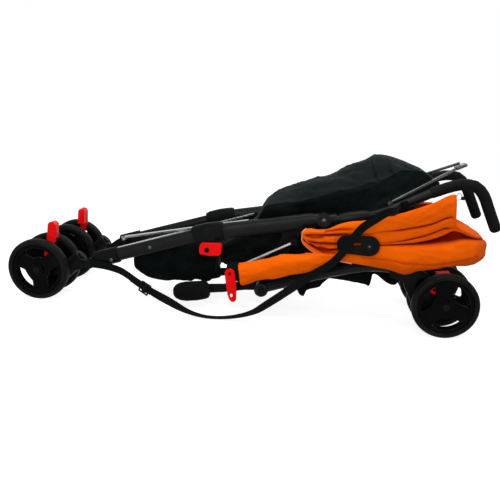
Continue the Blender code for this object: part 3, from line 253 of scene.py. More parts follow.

# %% Rubbed edges and painted edge highlights
rubbed_and_highlit, given, result = effect("rubbed_and_highlit_edges", {"Colour": BLACK, "Worn and highlit": WHITE, "Width": 0.0012, "Amount": 0.5},
                               {"Colour": "Color"})
# Edges found with a Bevel node are painted paler: rubbing by use, and on the rims and tyres a painted
# highlight.
rounded = node(rubbed_and_highlit, "ShaderNodeBevel", {"Radius": given["Width"]}, samples=4).outputs["Normal"]
true_normal = node(rubbed_and_highlit, "ShaderNodeNewGeometry").outputs["Normal"]
turn = node(rubbed_and_highlit, "ShaderNodeVectorMath", {0: rounded, 1: true_normal}, operation="DOT_PRODUCT")
edge = ranged(rubbed_and_highlit, turn.outputs["Value"], 0.985, 0.8)
broken = ranged(rubbed_and_highlit, noisy(rubbed_and_highlit, 120.0, 5.0), 0.42, 0.62)
mask = maths(rubbed_and_highlit, "MULTIPLY", maths(rubbed_and_highlit, "MULTIPLY", edge, broken), given["Amount"])
feed(rubbed_and_highlit, result, {"Colour": mixed(rubbed_and_highlit, mask, given["Colour"], given["Worn and highlit"])})

# %% Crossing threads
# Threads run along X, and along Y and Z together, so that the pattern crosses on a side and on a top alike.
weave, given, result = effect("weave", {"Threads per metre": 900.0}, {"Height": "Float", "Shade": "Float"})
place = node(weave, "ShaderNodeTexCoord").outputs["Object"]
axes = node(weave, "ShaderNodeSeparateXYZ", {"Vector": place}).outputs
turns = maths(weave, "MULTIPLY", given["Threads per metre"], math.pi)
along_wave = maths(weave, "SINE", maths(weave, "MULTIPLY", axes["X"], turns))
cross_wave = maths(weave, "SINE", maths(weave, "MULTIPLY", maths(weave, "ADD", axes["Y"], axes["Z"]), turns))
over = maths(weave, "GREATER_THAN", maths(weave, "MULTIPLY", along_wave, cross_wave), 0.0)
along_thread = maths(weave, "ABSOLUTE", along_wave)
cross_thread = maths(weave, "ABSOLUTE", cross_wave)
thread = node(weave, "ShaderNodeMix", {0: over, 2: along_thread, 3: cross_thread}).outputs[0]
feed(weave, result, {"Height": thread, "Shade": ranged(weave, thread, low=0.8, high=1.06)})

# %% Faded and dusty patches
patchy, given, result = effect("patchy", {"Colour": BLACK, "Faded": WHITE, "Scale": 14.0, "Amount": 0.3},
                               {"Colour": "Color"})
soft = ranged(patchy, noisy(patchy, given["Scale"], 6.0, Roughness=0.62), 0.38, 0.7)
mask = maths(patchy, "MULTIPLY", soft, given["Amount"])
feed(patchy, result, {"Colour": mixed(patchy, mask, given["Colour"], given["Faded"])})


def placed(tree, group, inputs):
    """The outputs of one of the effects, placed in a material with its own values."""
    return node(tree, "ShaderNodeGroup", inputs, node_tree=group).outputs


# %% [markdown]
# Hard pieces share one recipe: a colour with dusty patches, edges painted paler for rubbing and, on the wheels,
# as painted highlight, and a moulded or sprayed grain.
# What tells a painted tube from a moulded joint is how even the gloss is and how coarse the grain, so these
# are the recipe's arguments.

# %% Hard finishes


def hard_finish(name, colour, worn_and_highlit, gloss, grain_scale, bump, shine, dust=0.25, metallic=0.0, edge=0.5):
    """A material for paint, moulded plastic or metal. Gloss is the lowest and highest roughness."""
    made, tree, shader = fresh_material(name)
    dusty = placed(tree, patchy, {"Colour": (*colour, 1), "Faded": (*worn_and_highlit, 1), "Amount": dust, "Scale": 22.0})
    # The second colour fills the dust patches and the paler edges. Edge sets how much paler the edges are
    # painted: rubbing by use, and painted highlight where it is turned up.
    edges_worn_and_highlit = placed(tree, rubbed_and_highlit, {"Colour": dusty["Colour"], "Worn and highlit": (*worn_and_highlit, 1), "Amount": edge})
    texture = placed(tree, grain, {"Scale": grain_scale, "Low": gloss[0], "High": gloss[1]})
    relief = node(tree, "ShaderNodeBump", {"Height": texture["Height"], "Strength": bump, "Distance": 0.0003})
    feed(tree, shader, {"Base Color": edges_worn_and_highlit["Colour"], "Roughness": texture["Roughness"],
                        "Normal": relief.outputs["Normal"], "Metallic": metallic, "Specular IOR Level": shine})
    return made


BLACK_PAINT = hard_finish("black_paint", (0.004, 0.0046, 0.0042), (0.016, 0.0185, 0.017), (0.32, 0.44),
                          1500, 0.12, 0.09)
MOULDED_BLACK = hard_finish("moulded_black", (0.0022, 0.0026, 0.0025), (0.012, 0.0132, 0.0128), (0.42, 0.58),
                            1100, 0.3, 0.05)
# The rims' edges are painted fully paler: painted highlight lines along the ring, spokes and openings.
RIM_BLACK = hard_finish("rim_black", (0.0012, 0.0013, 0.0012), (0.032, 0.033, 0.032), (0.22, 0.36),
                        1300, 0.22, 0.025, dust=0.03, edge=1.0)
RED_GLOSS = hard_finish("red_gloss", (0.86, 0.0025, 0.0035), (0.88, 0.06, 0.05), (0.26, 0.4),
                        1200, 0.1, 0.07, dust=0.08)
BRUSHED_METAL = hard_finish("brushed_metal", (0.4, 0.41, 0.42), (0.64, 0.65, 0.66), (0.26, 0.42),
                            700, 0.16, 0.5, dust=0.35, metallic=1.0)
DARK_METAL = hard_finish("dark_metal", (0.055, 0.057, 0.06), (0.16, 0.165, 0.17), (0.28, 0.44),
                         700, 0.16, 0.5, dust=0.35, metallic=1.0)
# The tyres' edges are painted fully paler: painted highlight lines along the shoulder and tread edge.
TYRE_RUBBER = hard_finish("tyre_rubber", (0.0028, 0.0032, 0.003), (0.034, 0.0345, 0.033), (0.46, 0.64),
                          800, 0.45, 0.05, dust=0.2, edge=1.0)
GRIP_FOAM = hard_finish("grip_foam", (0.0056, 0.0062, 0.006), (0.015, 0.016, 0.0155), (0.7, 0.88),
                        1500, 0.85, 0.05, dust=0.3, edge=0.15)
print("hard finishes:", len(bpy.data.materials) - 1)

# %% [markdown]
# Cloth is rough, a little furry at grazing angles, and shows its threads close up. Its colour is never quite
# even. The same recipe gives the orange and the black polyester and the heavier webbing.

# %% Cloth finishes


def cloth_finish(name, colour, faded, threads, bump, sheen=0.02, wrinkle=0.35, fold_shade_share=(0.2, 0.2, 0.21)):
    """A woven cloth with crossing threads, small creases and a soft sheen.

    The last argument is the share of its colour left where a sheet's "shade" attribute is 1: painted shade,
    deepest in folds.
    """
    made, tree, shader = fresh_material(name)
    woven = placed(tree, weave, {"Threads per metre": threads})
    uneven = placed(tree, patchy, {"Colour": (*colour, 1), "Faded": (*faded, 1), "Scale": 9.0, "Amount": 0.55})
    lit = mixed(tree, 1.0, uneven["Colour"], woven["Shade"], "MULTIPLY")
    # Painted shade: the sheet's "shade" attribute darkens the colour towards its share in shade.
    painted_fold_shade = node(tree, "ShaderNodeAttribute", attribute_name="shade").outputs["Fac"]
    in_shade = (*(part * share for part, share in zip(colour, fold_shade_share)), 1)
    creases = noisy(tree, 26.0, 5.0, Distortion=0.6)
    crumple = node(tree, "ShaderNodeBump", {"Height": creases, "Strength": wrinkle, "Distance": 0.004})
    relief = node(tree, "ShaderNodeBump", {"Height": woven["Height"], "Strength": bump, "Distance": 0.0004,
                                           "Normal": crumple.outputs["Normal"]})
    feed(tree, shader, {"Base Color": mixed(tree, painted_fold_shade, lit, in_shade), "Normal": relief.outputs["Normal"],
                        "Roughness": 0.82, "Specular IOR Level": 0.03, "Sheen Weight": sheen,
                        "Sheen Roughness": 0.45})
    return made


ORANGE_CLOTH = cloth_finish("orange_cloth", (0.95, 0.134, 0.0012), (0.84, 0.108, 0.001), 1100, 0.3,
                            sheen=0.03, fold_shade_share=(0.36, 0.1, 0.3))
BLACK_CLOTH = cloth_finish("black_cloth", (0.0078, 0.0116, 0.0112), (0.0125, 0.0178, 0.0172), 1000, 0.4)
NEOPRENE = cloth_finish("neoprene", (0.0046, 0.0056, 0.005), (0.009, 0.01, 0.0094), 700, 0.55, wrinkle=0.2)
WEBBING = cloth_finish("webbing", (0.0042, 0.0048, 0.0047), (0.0085, 0.0094, 0.0092), 500, 0.8, wrinkle=0.1)
PALE_PIPING = cloth_finish("pale_piping", (0.92, 0.46, 0.26), (0.84, 0.38, 0.2), 900, 0.3, sheen=0.1,
                           wrinkle=0.05)
print("all finishes:", len(bpy.data.materials) - 1)

# %% [markdown]
# ## The carry strap
#
# The strap is one length of flat webbing, fixed high on the handle tube and low on the leg socket. It falls in
# a slack loop that touches the floor. Flat webbing hangs on its edge where it is pulled and turns flat where
# it lies, so its route carries a lean from 0, upright, to 1, flat. It is modelled directly: a grid is laid
# along the route row by row and given the webbing's thickness.

# %% Helpers for pieces
BODY_OF = {name: body for body, names in frame["record"]["behaviour"]["bodies"].items() for name in names}


def finished_mesh(made):
    """Applies every modifier of an object and keeps the result as its mesh."""
    graph = bpy.context.evaluated_depsgraph_get()
    mesh = bpy.data.meshes.new_from_object(made.evaluated_get(graph), depsgraph=graph)
    made.modifiers.clear()
    made.data = mesh
    return made


def modifier(made, kind, **settings):
    """A modifier with its settings."""
    step = made.modifiers.new(kind.lower(), kind)
    for key, value in settings.items():
        setattr(step, key, value)
    return step


def fasten(made, body):
    """Puts a piece on a body."""
    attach(made, body)
    return made


def mount(made, cad_name):
    """Lets a piece stand for a CAD node, on that node's body."""
    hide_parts(cad_name)
    return fasten(made, BODY_OF[cad_name])


def gridded(rows):
    """A bmesh grid through rows of points. A fourth value is a point's painted shade, deepest in folds."""
    bm = bmesh.new()
    last_row = len(rows) - 1
    last_point = len(rows[0]) - 1
    bmesh.ops.create_grid(bm, x_segments=last_row, y_segments=last_point, size=0.5)
    shade = bm.verts.layers.float.new("shade")
    for vert in bm.verts:
        point = rows[round((vert.co.x + 0.5) * last_row)][round((vert.co.y + 0.5) * last_point)]
        vert.co = point[:3]
        vert[shade] = point[3] if len(point) > 3 else 0.0
    return bm


def plate(bm, thickness):
    """The sheet with a thickness and with its faces turned outwards."""
    bmesh.ops.solidify(bm, geom=bm.faces[:], thickness=thickness)
    bmesh.ops.recalc_face_normals(bm, faces=bm.faces)
    return bm


def clamped(value, low=0.0, high=1.0):
    """The value, kept between low and high."""
    return min(high, max(low, value))


# %% The strap's route
STRAP_WIDTH = 0.016
STRAP_THICKNESS = 0.0016
STRAP_STOPS = [
    (0.805, -0.0932, 0.275, 0.0), (0.79, -0.096, 0.27, 0.0), (0.777, -0.1225, 0.264, 0.0),
    (0.7573, -0.14, 0.2627, 0.0), (0.7329, -0.144, 0.2463, 0.0), (0.7108, -0.1455, 0.2283, 0.0),
    (0.6959, -0.146, 0.2064, 0.0), (0.6837, -0.146, 0.1864, 0.0), (0.6677, -0.145, 0.1614, 0.0),
    (0.6479, -0.144, 0.141, 0.0), (0.6186, -0.143, 0.1196, 0.0), (0.53, -0.143, 0.048, 0.35),
    (0.495, -0.143, 0.024, 0.75), (0.45, -0.142, 0.009, 0.95), (0.4, -0.141, 0.004, 1.0),
    (0.355, -0.14, 0.012, 0.85), (0.31, -0.139, 0.032, 0.35), (0.27, -0.136, 0.05, 0.0),
    (0.235, -0.127, 0.066, 0.0), (0.195, -0.112, 0.082, 0.0), (0.155, -0.1025, 0.088, 0.0),
    (0.118, -0.1006, 0.09, 0.0)
]


def smooth_line(points, steps):
    """A Catmull-Rom curve through vectors of any size, with that many steps in each span."""
    ends = [points[0] * 2 - points[1], *points, points[-1] * 2 - points[-2]]
    line = []
    for i in range(1, len(ends) - 2):
        before, start, end, after = ends[i - 1:i + 3]
        for k in range(steps):
            t = k / steps
            line.append(0.5 * (2 * start + (end - before) * t
                               + (2 * before - 5 * start + 4 * end - after) * t ** 2
                               + (3 * start - before - 3 * end + after) * t ** 3))
    line.append(points[-1].copy())
    return line


def direction(route, i):
    """The way along a route at one of its points."""
    return (route[min(i + 1, len(route) - 1)] - route[max(i - 1, 0)]).normalized()


STRAP_LINE = smooth_line([Vector((*at(x, y, z), lean)) for x, y, z, lean in STRAP_STOPS], 6)
strap_path = [Vector(p[:3]) for p in STRAP_LINE]
strap_length = sum((b - a).length for a, b in zip(strap_path, strap_path[1:]))
print("strap length:", round(strap_length, 3))


def strap_frame(i):
    """The directions along, across and through the webbing at one point of its route."""
    ahead = direction(strap_path, i)
    through = ahead.cross(Vector((0, 0, 1))).normalized()
    wide = through.cross(ahead).normalized()
    lean = clamped(STRAP_LINE[i][3]) * math.pi / 2
    return (ahead, wide * math.cos(lean) + through * math.sin(lean),
            through * math.cos(lean) - wide * math.sin(lean))


# %% The webbing
WEB_COLUMNS = 6


def webbing(line, columns, width):
    """A plate of webbing along a line of (middle, direction across) pairs."""
    shares = [k / columns - 0.5 for k in range(columns + 1)]
    return plate(gridded([[middle + across * share * width for share in shares] for middle, across in line]),
                 STRAP_THICKNESS)


strap_line = [(point, strap_frame(i)[1]) for i, point in enumerate(strap_path)]
strap = as_object("webbing_strap", webbing(strap_line, WEB_COLUMNS, STRAP_WIDTH), WEBBING, sharp=60)
mount(strap, "carry_strap")

# %% [markdown]
# The slide buckle is a small ladder frame. The webbing's free end comes up through one slot, goes over the
# middle bar, returns through the other slot and lies on the strap behind it.

# %% Slide buckle and the strap's free end
BUCKLE_STEP = 104
BUCKLE_HALF = 0.0125
SLOT_HALF = 0.01
SLOT_START = 0.0025
SLOT_END = 0.0095
BUCKLE_COLUMNS = (-BUCKLE_HALF, -SLOT_END, -SLOT_START, SLOT_START, SLOT_END, BUCKLE_HALF)
BUCKLE_ROWS = (-0.0135, -SLOT_HALF, SLOT_HALF, 0.0135)
BUCKLE_LIFT = 0.0037
ahead, wide, through = strap_frame(BUCKLE_STEP)
centre = strap_path[BUCKLE_STEP]
middle = centre - through * BUCKLE_LIFT
bm = gridded([[middle + ahead * column + wide * row for row in BUCKLE_ROWS] for column in BUCKLE_COLUMNS])
openings = []
for face in bm.faces:
    spot = face.calc_center_median() - middle
    if SLOT_START < abs(spot.dot(ahead)) < SLOT_END and abs(spot.dot(wide)) < SLOT_HALF:
        openings.append(face)
bmesh.ops.delete(bm, geom=openings, context="FACES")
buckle = as_object("slide_buckle", plate(bm, 0.0022), MOULDED_BLACK)
modifier(buckle, "BEVEL", width=0.0006, segments=3, limit_method="ANGLE")
mount(buckle, "strap_buckle")

TAIL_STOPS = [
    (-0.015, 0.0018), (-0.009, 0.002), (-0.0045, 0.0045), (0.0, 0.006), (0.0045, 0.0045),
    (0.009, 0.002), (0.018, 0.0017), (0.03, 0.0017), (0.042, 0.0018)
]
last = len(strap_path) - 1
tail_line = []
for reach, lift in smooth_line([Vector(stop) for stop in TAIL_STOPS], 3):
    near = clamped(BUCKLE_STEP + round(reach / strap_length * last), 0, last)
    ahead, wide, through = strap_frame(near)
    on_strap = strap_path[near] + ahead * (reach - (strap_path[near] - centre).dot(ahead))
    tail_line.append((on_strap - through * lift, wide))
strap_tail = as_object("strap_tail", webbing(tail_line, 4, STRAP_WIDTH * 0.98), WEBBING, sharp=60)
fasten(strap_tail, "frame_left")

# %% [markdown]
# ## Wheels
#
# Each corner has a twin wheel: two rims with three wide spokes and a soft tyre on each. Rim and tyre are
# turned, so their half sections are spun round the axle. The openings between the spokes are then cut with
# three rounded wedges, and a bevel gives the moulded edges that catch the light.

# %% Sizes of a wheel
WHEEL_R = 0.070
RIM_R = WHEEL_R - 0.0115
RING_R = RIM_R - 0.0085
HUB_R = 0.0135
HUB_PLATE_R = 0.027
OPENING_R = RING_R - 0.0005
SPOKE_HALF = 0.0168
CUT_HALF = 0.05

# %% Turned pieces and cutters


def turned(section, steps=96):
    """A bmesh of a closed section of (radius, across) points, spun once round the Y axis."""
    bm = bmesh.new()
    points = [bm.verts.new((radius, across, 0)) for radius, across in section]
    edges = [bm.edges.new(pair) for pair in zip(points, points[1:] + points[:1])]
    bmesh.ops.spin(bm, geom=points + edges, cent=(0, 0, 0), axis=(0, 1, 0), dvec=(0, 0, 0), angle=2 * math.pi,
                   steps=steps, use_merge=True, use_duplicate=False)
    bmesh.ops.remove_doubles(bm, verts=bm.verts, dist=1e-6)
    bmesh.ops.recalc_face_normals(bm, faces=bm.faces)
    return bm


def wedge(middle_angle):
    """A bmesh of the opening between two spokes: wide at the rim, narrower at the hub, right through."""
    bm = bmesh.new()
    corners = []
    for radius, steps, sign in ((OPENING_R, 14, 1), (HUB_PLATE_R, 6, -1)):
        half = math.pi / 3 - math.asin(SPOKE_HALF / radius)
        for k in range(steps + 1):
            angle = middle_angle + sign * half * (2 * k / steps - 1)
            corners.append(bm.verts.new((radius * math.cos(angle), -CUT_HALF, radius * math.sin(angle))))
    pushed = bmesh.ops.extrude_face_region(bm, geom=[bm.faces.new(corners)])["geom"]
    far_corners = [part for part in pushed if isinstance(part, bmesh.types.BMVert)]
    bmesh.ops.translate(bm, vec=(0, 2 * CUT_HALF, 0), verts=far_corners)
    uprights = [edge for edge in bm.edges if edge.verts[0].co.y * edge.verts[1].co.y < 0]
    sharp = [edge for edge in uprights if edge.calc_face_angle(0) > 0.7]
    bmesh.ops.bevel(bm, geom=sharp, offset=0.006, segments=4, profile=0.5, affect="EDGES", material=-1)
    bmesh.ops.recalc_face_normals(bm, faces=bm.faces)
    return bm


def cut_away(made, cutters):
    """Cuts other objects out of one and deletes them."""
    for cutter in cutters:
        modifier(made, "BOOLEAN", operation="DIFFERENCE", solver="EXACT", object=cutter)
    finished_mesh(made)
    for cutter in cutters:
        bpy.data.objects.remove(cutter)


# %% Rims and tyres


def both_sides(half):
    """A closed section from the half of it on one side of the wheel's middle."""
    return half + [(radius, -across) for radius, across in reversed(half)]


# A hub, a thin web and a raised ring under the tyre.
RIM_SECTION = both_sides([
    (0.0043, 0.0104), (HUB_R - 0.002, 0.0104), (HUB_R, 0.009), (HUB_R + 0.0012, 0.0052),
    (HUB_PLATE_R, 0.0044), (RING_R - 0.004, 0.0048), (RING_R - 0.001, 0.0062), (RING_R, 0.0092),
    (RING_R + 0.0015, 0.0104), (RIM_R - 0.0015, 0.0104), (RIM_R, 0.0092)
])
# A bead on the rim, straight walls, a stepped shoulder and a grooved crown.
TYRE_SECTION = both_sides([
    (RIM_R + 0.0001, 0.01), (RIM_R + 0.0004, 0.0116), (RIM_R + 0.0024, 0.012), (WHEEL_R - 0.005, 0.0119),
    (WHEEL_R - 0.004, 0.0112), (WHEEL_R - 0.0032, 0.0112), (WHEEL_R - 0.0012, 0.0092),
    (WHEEL_R - 0.0003, 0.0062), (WHEEL_R - 0.0002, 0.005), (WHEEL_R - 0.0011, 0.0046),
    (WHEEL_R - 0.0011, 0.0038), (WHEEL_R, 0.0034), (WHEEL_R, 0.001)
])


def wheel(end, side, turn, inner):
    """A rim and a tyre that replace one wheel of the CAD model. An inner wheel's two are one CAD node."""
    label = f"{end}_{'inner' if inner else 'outer'}"
    rim_node, tyre_node = (f"{label}_{'wheel' if inner else part}_{side}" for part in ("rim", "tyre"))
    low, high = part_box(tyre_node)
    rim = as_object(f"{label}_rim_{side}_turned", turned(RIM_SECTION), RIM_BLACK, sharp=32)
    cut_away(rim, [as_object("wedge", wedge(math.radians(turn + 120 * k)), RIM_BLACK) for k in range(3)])
    modifier(rim, "BEVEL", width=0.0009, segments=2, limit_method="ANGLE", angle_limit=math.radians(40))
    rubber = as_object(f"{label}_tyre_{side}_turned", turned(TYRE_SECTION), TYRE_RUBBER, sharp=32)
    for piece in (rim, rubber):
        piece.data.transform(Matrix.Translation((low + high) / 2))
    mount(rim, rim_node)
    mount(rubber, tyre_node)


for side in ("left", "right"):
    for end, turn in (("front", 95), ("rear", 40)):
        wheel(end, side, turn, inner=False)
        wheel(end, side, turn, inner=True)
print("wheels dressed: 8")

# %% [markdown]
# ## Tubes and moulded pieces
#
# The frame's tubes, joints, brackets and levers have the right shape already. What the CAD lacks is the small
# radius that every moulded edge has and that gives black plastic its thin bright lines. A merged copy of each
# node gets that radius and its finish.

# %% Rounded copies of the CAD pieces


def rounded_copy(name, finish, radius):
    """A copy of a CAD node with softened edges, which stands for it."""
    bm = bmesh.new()
    bm.from_mesh(NODES[name].data)
    bmesh.ops.remove_doubles(bm, verts=bm.verts, dist=2e-6)
    bmesh.ops.dissolve_limit(bm, angle_limit=math.radians(1.0), verts=bm.verts, edges=bm.edges)
    made = as_object(name + "_finished", bm, finish, sharp=32)
    if radius:
        modifier(made, "BEVEL", width=radius, segments=2, limit_method="ANGLE", angle_limit=math.radians(38),
                 use_clamp_overlap=True)
    return mount(made, name)


def second_finish(made, finish, chosen):
    """Gives another finish to the faces whose middle, as (along, across, up), is chosen."""
    made.data.materials.append(finish)
    for face in made.data.polygons:
        face.material_index = int(chosen(face.center - at(0, 0, 0)))


ROD_Y = 0.0965
ROD_R = 0.004
ROD_START = 0.468
ROD_END = 0.566
BOOT_END = 0.3886


def is_bare_rod(spot):
    """True on the armrest's bright rod, between its end fittings."""
    return abs(abs(spot.y) - ROD_Y) < ROD_R and ROD_START < spot.x < ROD_END


COPIES = [
    (BLACK_PAINT, "black_tube", 0.0006, ["front_leg", "side_tube", "handle_tube", "rear_leg"]),
    (MOULDED_BLACK, "black_plastic", 0.001, ["lower_joint", "knuckle", "pivot_plate", "rear_bracket",
                                             "caster_fork", "canopy_bracket", "leg_rest"]),
    (RED_GLOSS, "red_plastic", 0.001, ["swivel_lever", "fold_lock", "brake_pedal"]),
    (BRUSHED_METAL, "bare_metal", 0.0006, ["brace_bar"]),
    (MOULDED_BLACK, "black_plastic", 0.0006, ["front_axle"]),
    (DARK_METAL, "bare_metal", 0.0006, ["handle_strut"]),
    (GRIP_FOAM, "grip_foam", 0.0, ["grip"]),
    (MOULDED_BLACK, "black_plastic", 0.0006, ["armrest_rod"])
]
copies = {}
for side in ("left", "right"):
    for finish, slot, radius, names in COPIES:
        for name in names:
            copies[name] = rounded_copy(f"{name}_{side}", finish, radius)
    second_finish(copies["armrest_rod"], BRUSHED_METAL, is_bare_rod)
    second_finish(copies["leg_rest"], NEOPRENE, lambda spot: spot.x < BOOT_END)
rounded_copy("storage_hook", RED_GLOSS, 0.001)
print("kinds of rounded copy:", len(copies) + 1)

# %% [markdown]
# Rivets and bolts hold the frame together. They are small domes with a thin flange, spun once round their own
# axis and set on the outer faces of the legs, joints and hinges.

# %% Rivets and bolts
STUDS = [
    ("leg_rivet", "front_leg", (0.2545, 0.0944, 0.1368), 0.003),
    ("joint_bolt", "lower_joint", (0.166, 0.0976, 0.101), 0.0034),
    ("hinge_bolt", "side_tube", (0.635, 0.0996, 0.228), 0.0036),
    ("hood_bolt", "canopy_bracket", (0.732, 0.125, 0.186), 0.0042)
]


def stud(name, place, radius, side):
    """A domed stud that faces outwards on one side of the frame."""
    section = [(0.0, 0.0006), (radius * 1.25, 0.0006), (radius * 1.25, 0.0), (radius, -0.0003),
               (radius * 0.86, -radius * 0.3), (radius * 0.45, -radius * 0.48), (0.0, -radius * 0.52)]
    bm = turned(section, 32)
    if side > 0:
        bmesh.ops.scale(bm, vec=(1, -1, 1), verts=bm.verts)
        bmesh.ops.reverse_faces(bm, faces=bm.faces)
    bmesh.ops.translate(bm, vec=place, verts=bm.verts)
    return as_object(name, bm, DARK_METAL, 50)


for side, sign in (("left", -1), ("right", 1)):
    for name, carrier, (x, y, z), radius in STUDS:
        made = stud(f"{name}_{side}", at(x, sign * y, z), radius, sign)
        fasten(made, BODY_OF[f"{carrier}_{side}"])

# %% [markdown]
# ## Cloth
#
# All the cloth is folded up here, so each piece is a sheet laid through rows of points. Its outlines are read
# from short tables along the stroller, and its folds come from where the cloth is held: the hood's pleats fan
# out from its two brackets, and the seat breaks along one line over the side tubes. Small uneven waves and
# creases are added to the rows themselves, so that light catches real folds. Shade is painted on as well: a
# shade value at each point darkens the cloth's colour in folds, hollows and on walls turned from the lamps.

# %% Helpers for cloth


def eased(low, high, value):
    """From 0 below low to 1 above high, turning smoothly."""
    t = clamped((value - low) / (high - low))
    return t * t * (3 - 2 * t)


def mix(first, second, share):
    """The value that far from the first to the second."""
    return first + (second - first) * share


def read(stations, x):
    """A value read at x from (x, value) stations, on a curve that never swings past them."""
    if x <= stations[0][0]:
        return stations[0][1]
    if x >= stations[-1][0]:
        return stations[-1][1]
    i = 1
    while stations[i][0] < x:
        i += 1
    (x0, start), (x1, end) = stations[i - 1], stations[i]
    rise = (end - start) / (x1 - x0)
    slopes = []
    for j in (i - 1, i):
        if j in (0, len(stations) - 1):
            slopes.append(rise)
            continue
        before = (stations[j][1] - stations[j - 1][1]) / (stations[j][0] - stations[j - 1][0])
        after = (stations[j + 1][1] - stations[j][1]) / (stations[j + 1][0] - stations[j][0])
        slopes.append(2 * before * after / (before + after) if before * after > 0 else 0.0)
    t = (x - x0) / (x1 - x0)
    bend = (x1 - x0) * (slopes[0] * t * (1 - t) ** 2 - slopes[1] * t * t * (1 - t))
    return mix(start, end, t * t * (3 - 2 * t)) + bend


def band(x, start, full, fading, end):
    """1 from full to fading, and 0 before start and after end."""
    return eased(start, full, x) * (1 - eased(fading, end, x))


def waves(point, sizes):
    """Smooth uneven waves, each with its length along X, its size up and across, its depth and its seed."""
    return sum(depth * noise.noise(Vector((point.x / length + seed, point.y / height, point.z / height)))
               for length, height, depth, seed in sizes)


def creases(point, sizes):
    """Thin ridges where such waves change sign, as in crumpled cloth."""
    return sum(depth * max(0.0, 1 - 5 * abs(waves(point, [(length, height, 1.0, seed)])))
               for length, height, depth, seed in sizes)


def groove(x, z, line, width):
    """How near a side view's (x, z) is to a line of such points: 1 on it, and 0 from about two widths."""
    best = 1.0
    for (x0, z0), (x1, z1) in zip(line, line[1:]):
        long = (x1 - x0) ** 2 + (z1 - z0) ** 2
        t = clamped(((x - x0) * (x1 - x0) + (z - z0) * (z1 - z0)) / long)
        best = min(best, math.hypot(x - mix(x0, x1, t), z - mix(z0, z1, t)))
    return math.exp(-(best / width) ** 2)


def laid(rows, joined=False):
    """A sheet through rows of points. Joined rows are rings, and their ends are closed."""
    bm = gridded(rows)
    if joined:
        bmesh.ops.remove_doubles(bm, verts=bm.verts, dist=1e-5)
        bmesh.ops.holes_fill(bm, edges=bm.edges, sides=0)
    bmesh.ops.recalc_face_normals(bm, faces=bm.faces)
    return bm


def ring_of(side, low):
    """A closed section from its right side, which starts at the top's middle, and the height of its floor."""
    ring = side + [(0.0, low)] + [(-y, z) for y, z in reversed(side[1:])] + [side[0]]
    return smooth_line([Vector(point) for point in ring], 4)


def cloth_area(bm):
    """The area of a sheet before it gets its thickness."""
    return round(sum(face.calc_area() for face in bm.faces), 3)


def thickened(made, thickness):
    """Gives a sheet the thickness of its cloth."""
    modifier(made, "SOLIDIFY", thickness=thickness, offset=0.0)
    return finished_mesh(made)


def stretch(made, cad_name):
    """Lets a cloth stand for a CAD node, and keeps its place in its mesh."""
    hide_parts(cad_name)
    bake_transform(made)


def piping(name, route, radius, finish, body):
    """A round cord of piping sewn along a route."""
    turns = [2 * math.pi * k / 10 for k in range(11)]
    rows = []
    for i, point in enumerate(route):
        ahead = direction(route, i)
        side = ahead.cross(Vector((0.1, 1, 0.05))).normalized()
        up = side.cross(ahead)
        rows.append([point + side * radius * math.cos(a) + up * radius * math.sin(a) for a in turns])
    return fasten(as_object(name, laid(rows, joined=True), finish, 60), body)


# %% [markdown]
# The hood is one sheet. Seen in section it falls from its top edge, folds under itself twice, goes deep in
# between the wing and the lobe, rolls out round the lobe and ends inside it. Six lines along the hood give the
# heights of those folds. Its route goes from the left front edge round behind the handles to the right one.

# %% The hood's lines
HOOD_TOP = [
    (0.592, 0.204), (0.5955, 0.207), (0.6, 0.2098), (0.6088, 0.2118), (0.6236, 0.2105), (0.6405, 0.212),
    (0.6678, 0.225), (0.6916, 0.2325), (0.715, 0.236), (0.787, 0.256), (0.843, 0.2795), (0.893, 0.3035),
    (0.8958, 0.29), (0.8975, 0.262), (0.9, 0.244), (0.9185, 0.233), (0.945, 0.218), (0.99, 0.203)
]
HOOD_FAR_TOP = [
    (0.592, 0.2), (0.613, 0.204), (0.662, 0.216), (0.715, 0.226), (0.787, 0.24), (0.893, 0.25),
    (0.917, 0.233), (0.945, 0.218), (0.99, 0.203)
]
FIRST_PLEAT = [
    (0.592, 0.199), (0.61, 0.2035), (0.6427, 0.2046), (0.7023, 0.2093), (0.7187, 0.21), (0.7505, 0.2174),
    (0.7899, 0.2268), (0.8287, 0.2372), (0.8535, 0.2454), (0.89, 0.262), (0.9, 0.2395), (0.945, 0.2168),
    (0.99, 0.202)
]
SECOND_PLEAT = [
    (0.592, 0.193), (0.609, 0.186), (0.6753, 0.1895), (0.72, 0.1915), (0.7568, 0.1945), (0.7927, 0.2027),
    (0.8315, 0.2153), (0.8618, 0.2283), (0.8846, 0.2384), (0.9, 0.235), (0.945, 0.2155), (0.99, 0.201)
]
WING_LOW = [
    (0.592, 0.189), (0.6137, 0.1775), (0.6359, 0.171), (0.6766, 0.177), (0.72, 0.186), (0.7652, 0.19),
    (0.8334, 0.2006), (0.8773, 0.2169), (0.9, 0.229), (0.945, 0.214), (0.99, 0.2)
]
LOBE_TOP = [
    (0.592, 0.187), (0.6137, 0.1725), (0.64, 0.164), (0.68, 0.172), (0.72, 0.1815), (0.7576, 0.1863),
    (0.8342, 0.1945), (0.8929, 0.205), (0.921, 0.2125), (0.945, 0.211), (0.99, 0.1985)
]
HOOD_LOW = [
    (0.592, 0.185), (0.6014, 0.173), (0.6169, 0.1633), (0.6366, 0.154), (0.656, 0.149), (0.6772, 0.1465),
    (0.7004, 0.1441), (0.7487, 0.1395), (0.78, 0.136), (0.8118, 0.1295), (0.8369, 0.139), (0.861, 0.144),
    (0.919, 0.156), (0.99, 0.156)
]
LOBE_FAT = [(0.76, 0.0), (0.83, 1.0), (0.99, 1.0)]
LOBE_FOLD = [(0.7196, 0.16), (0.7982, 0.1569), (0.8594, 0.1556), (0.91, 0.168), (0.94, 0.18)]
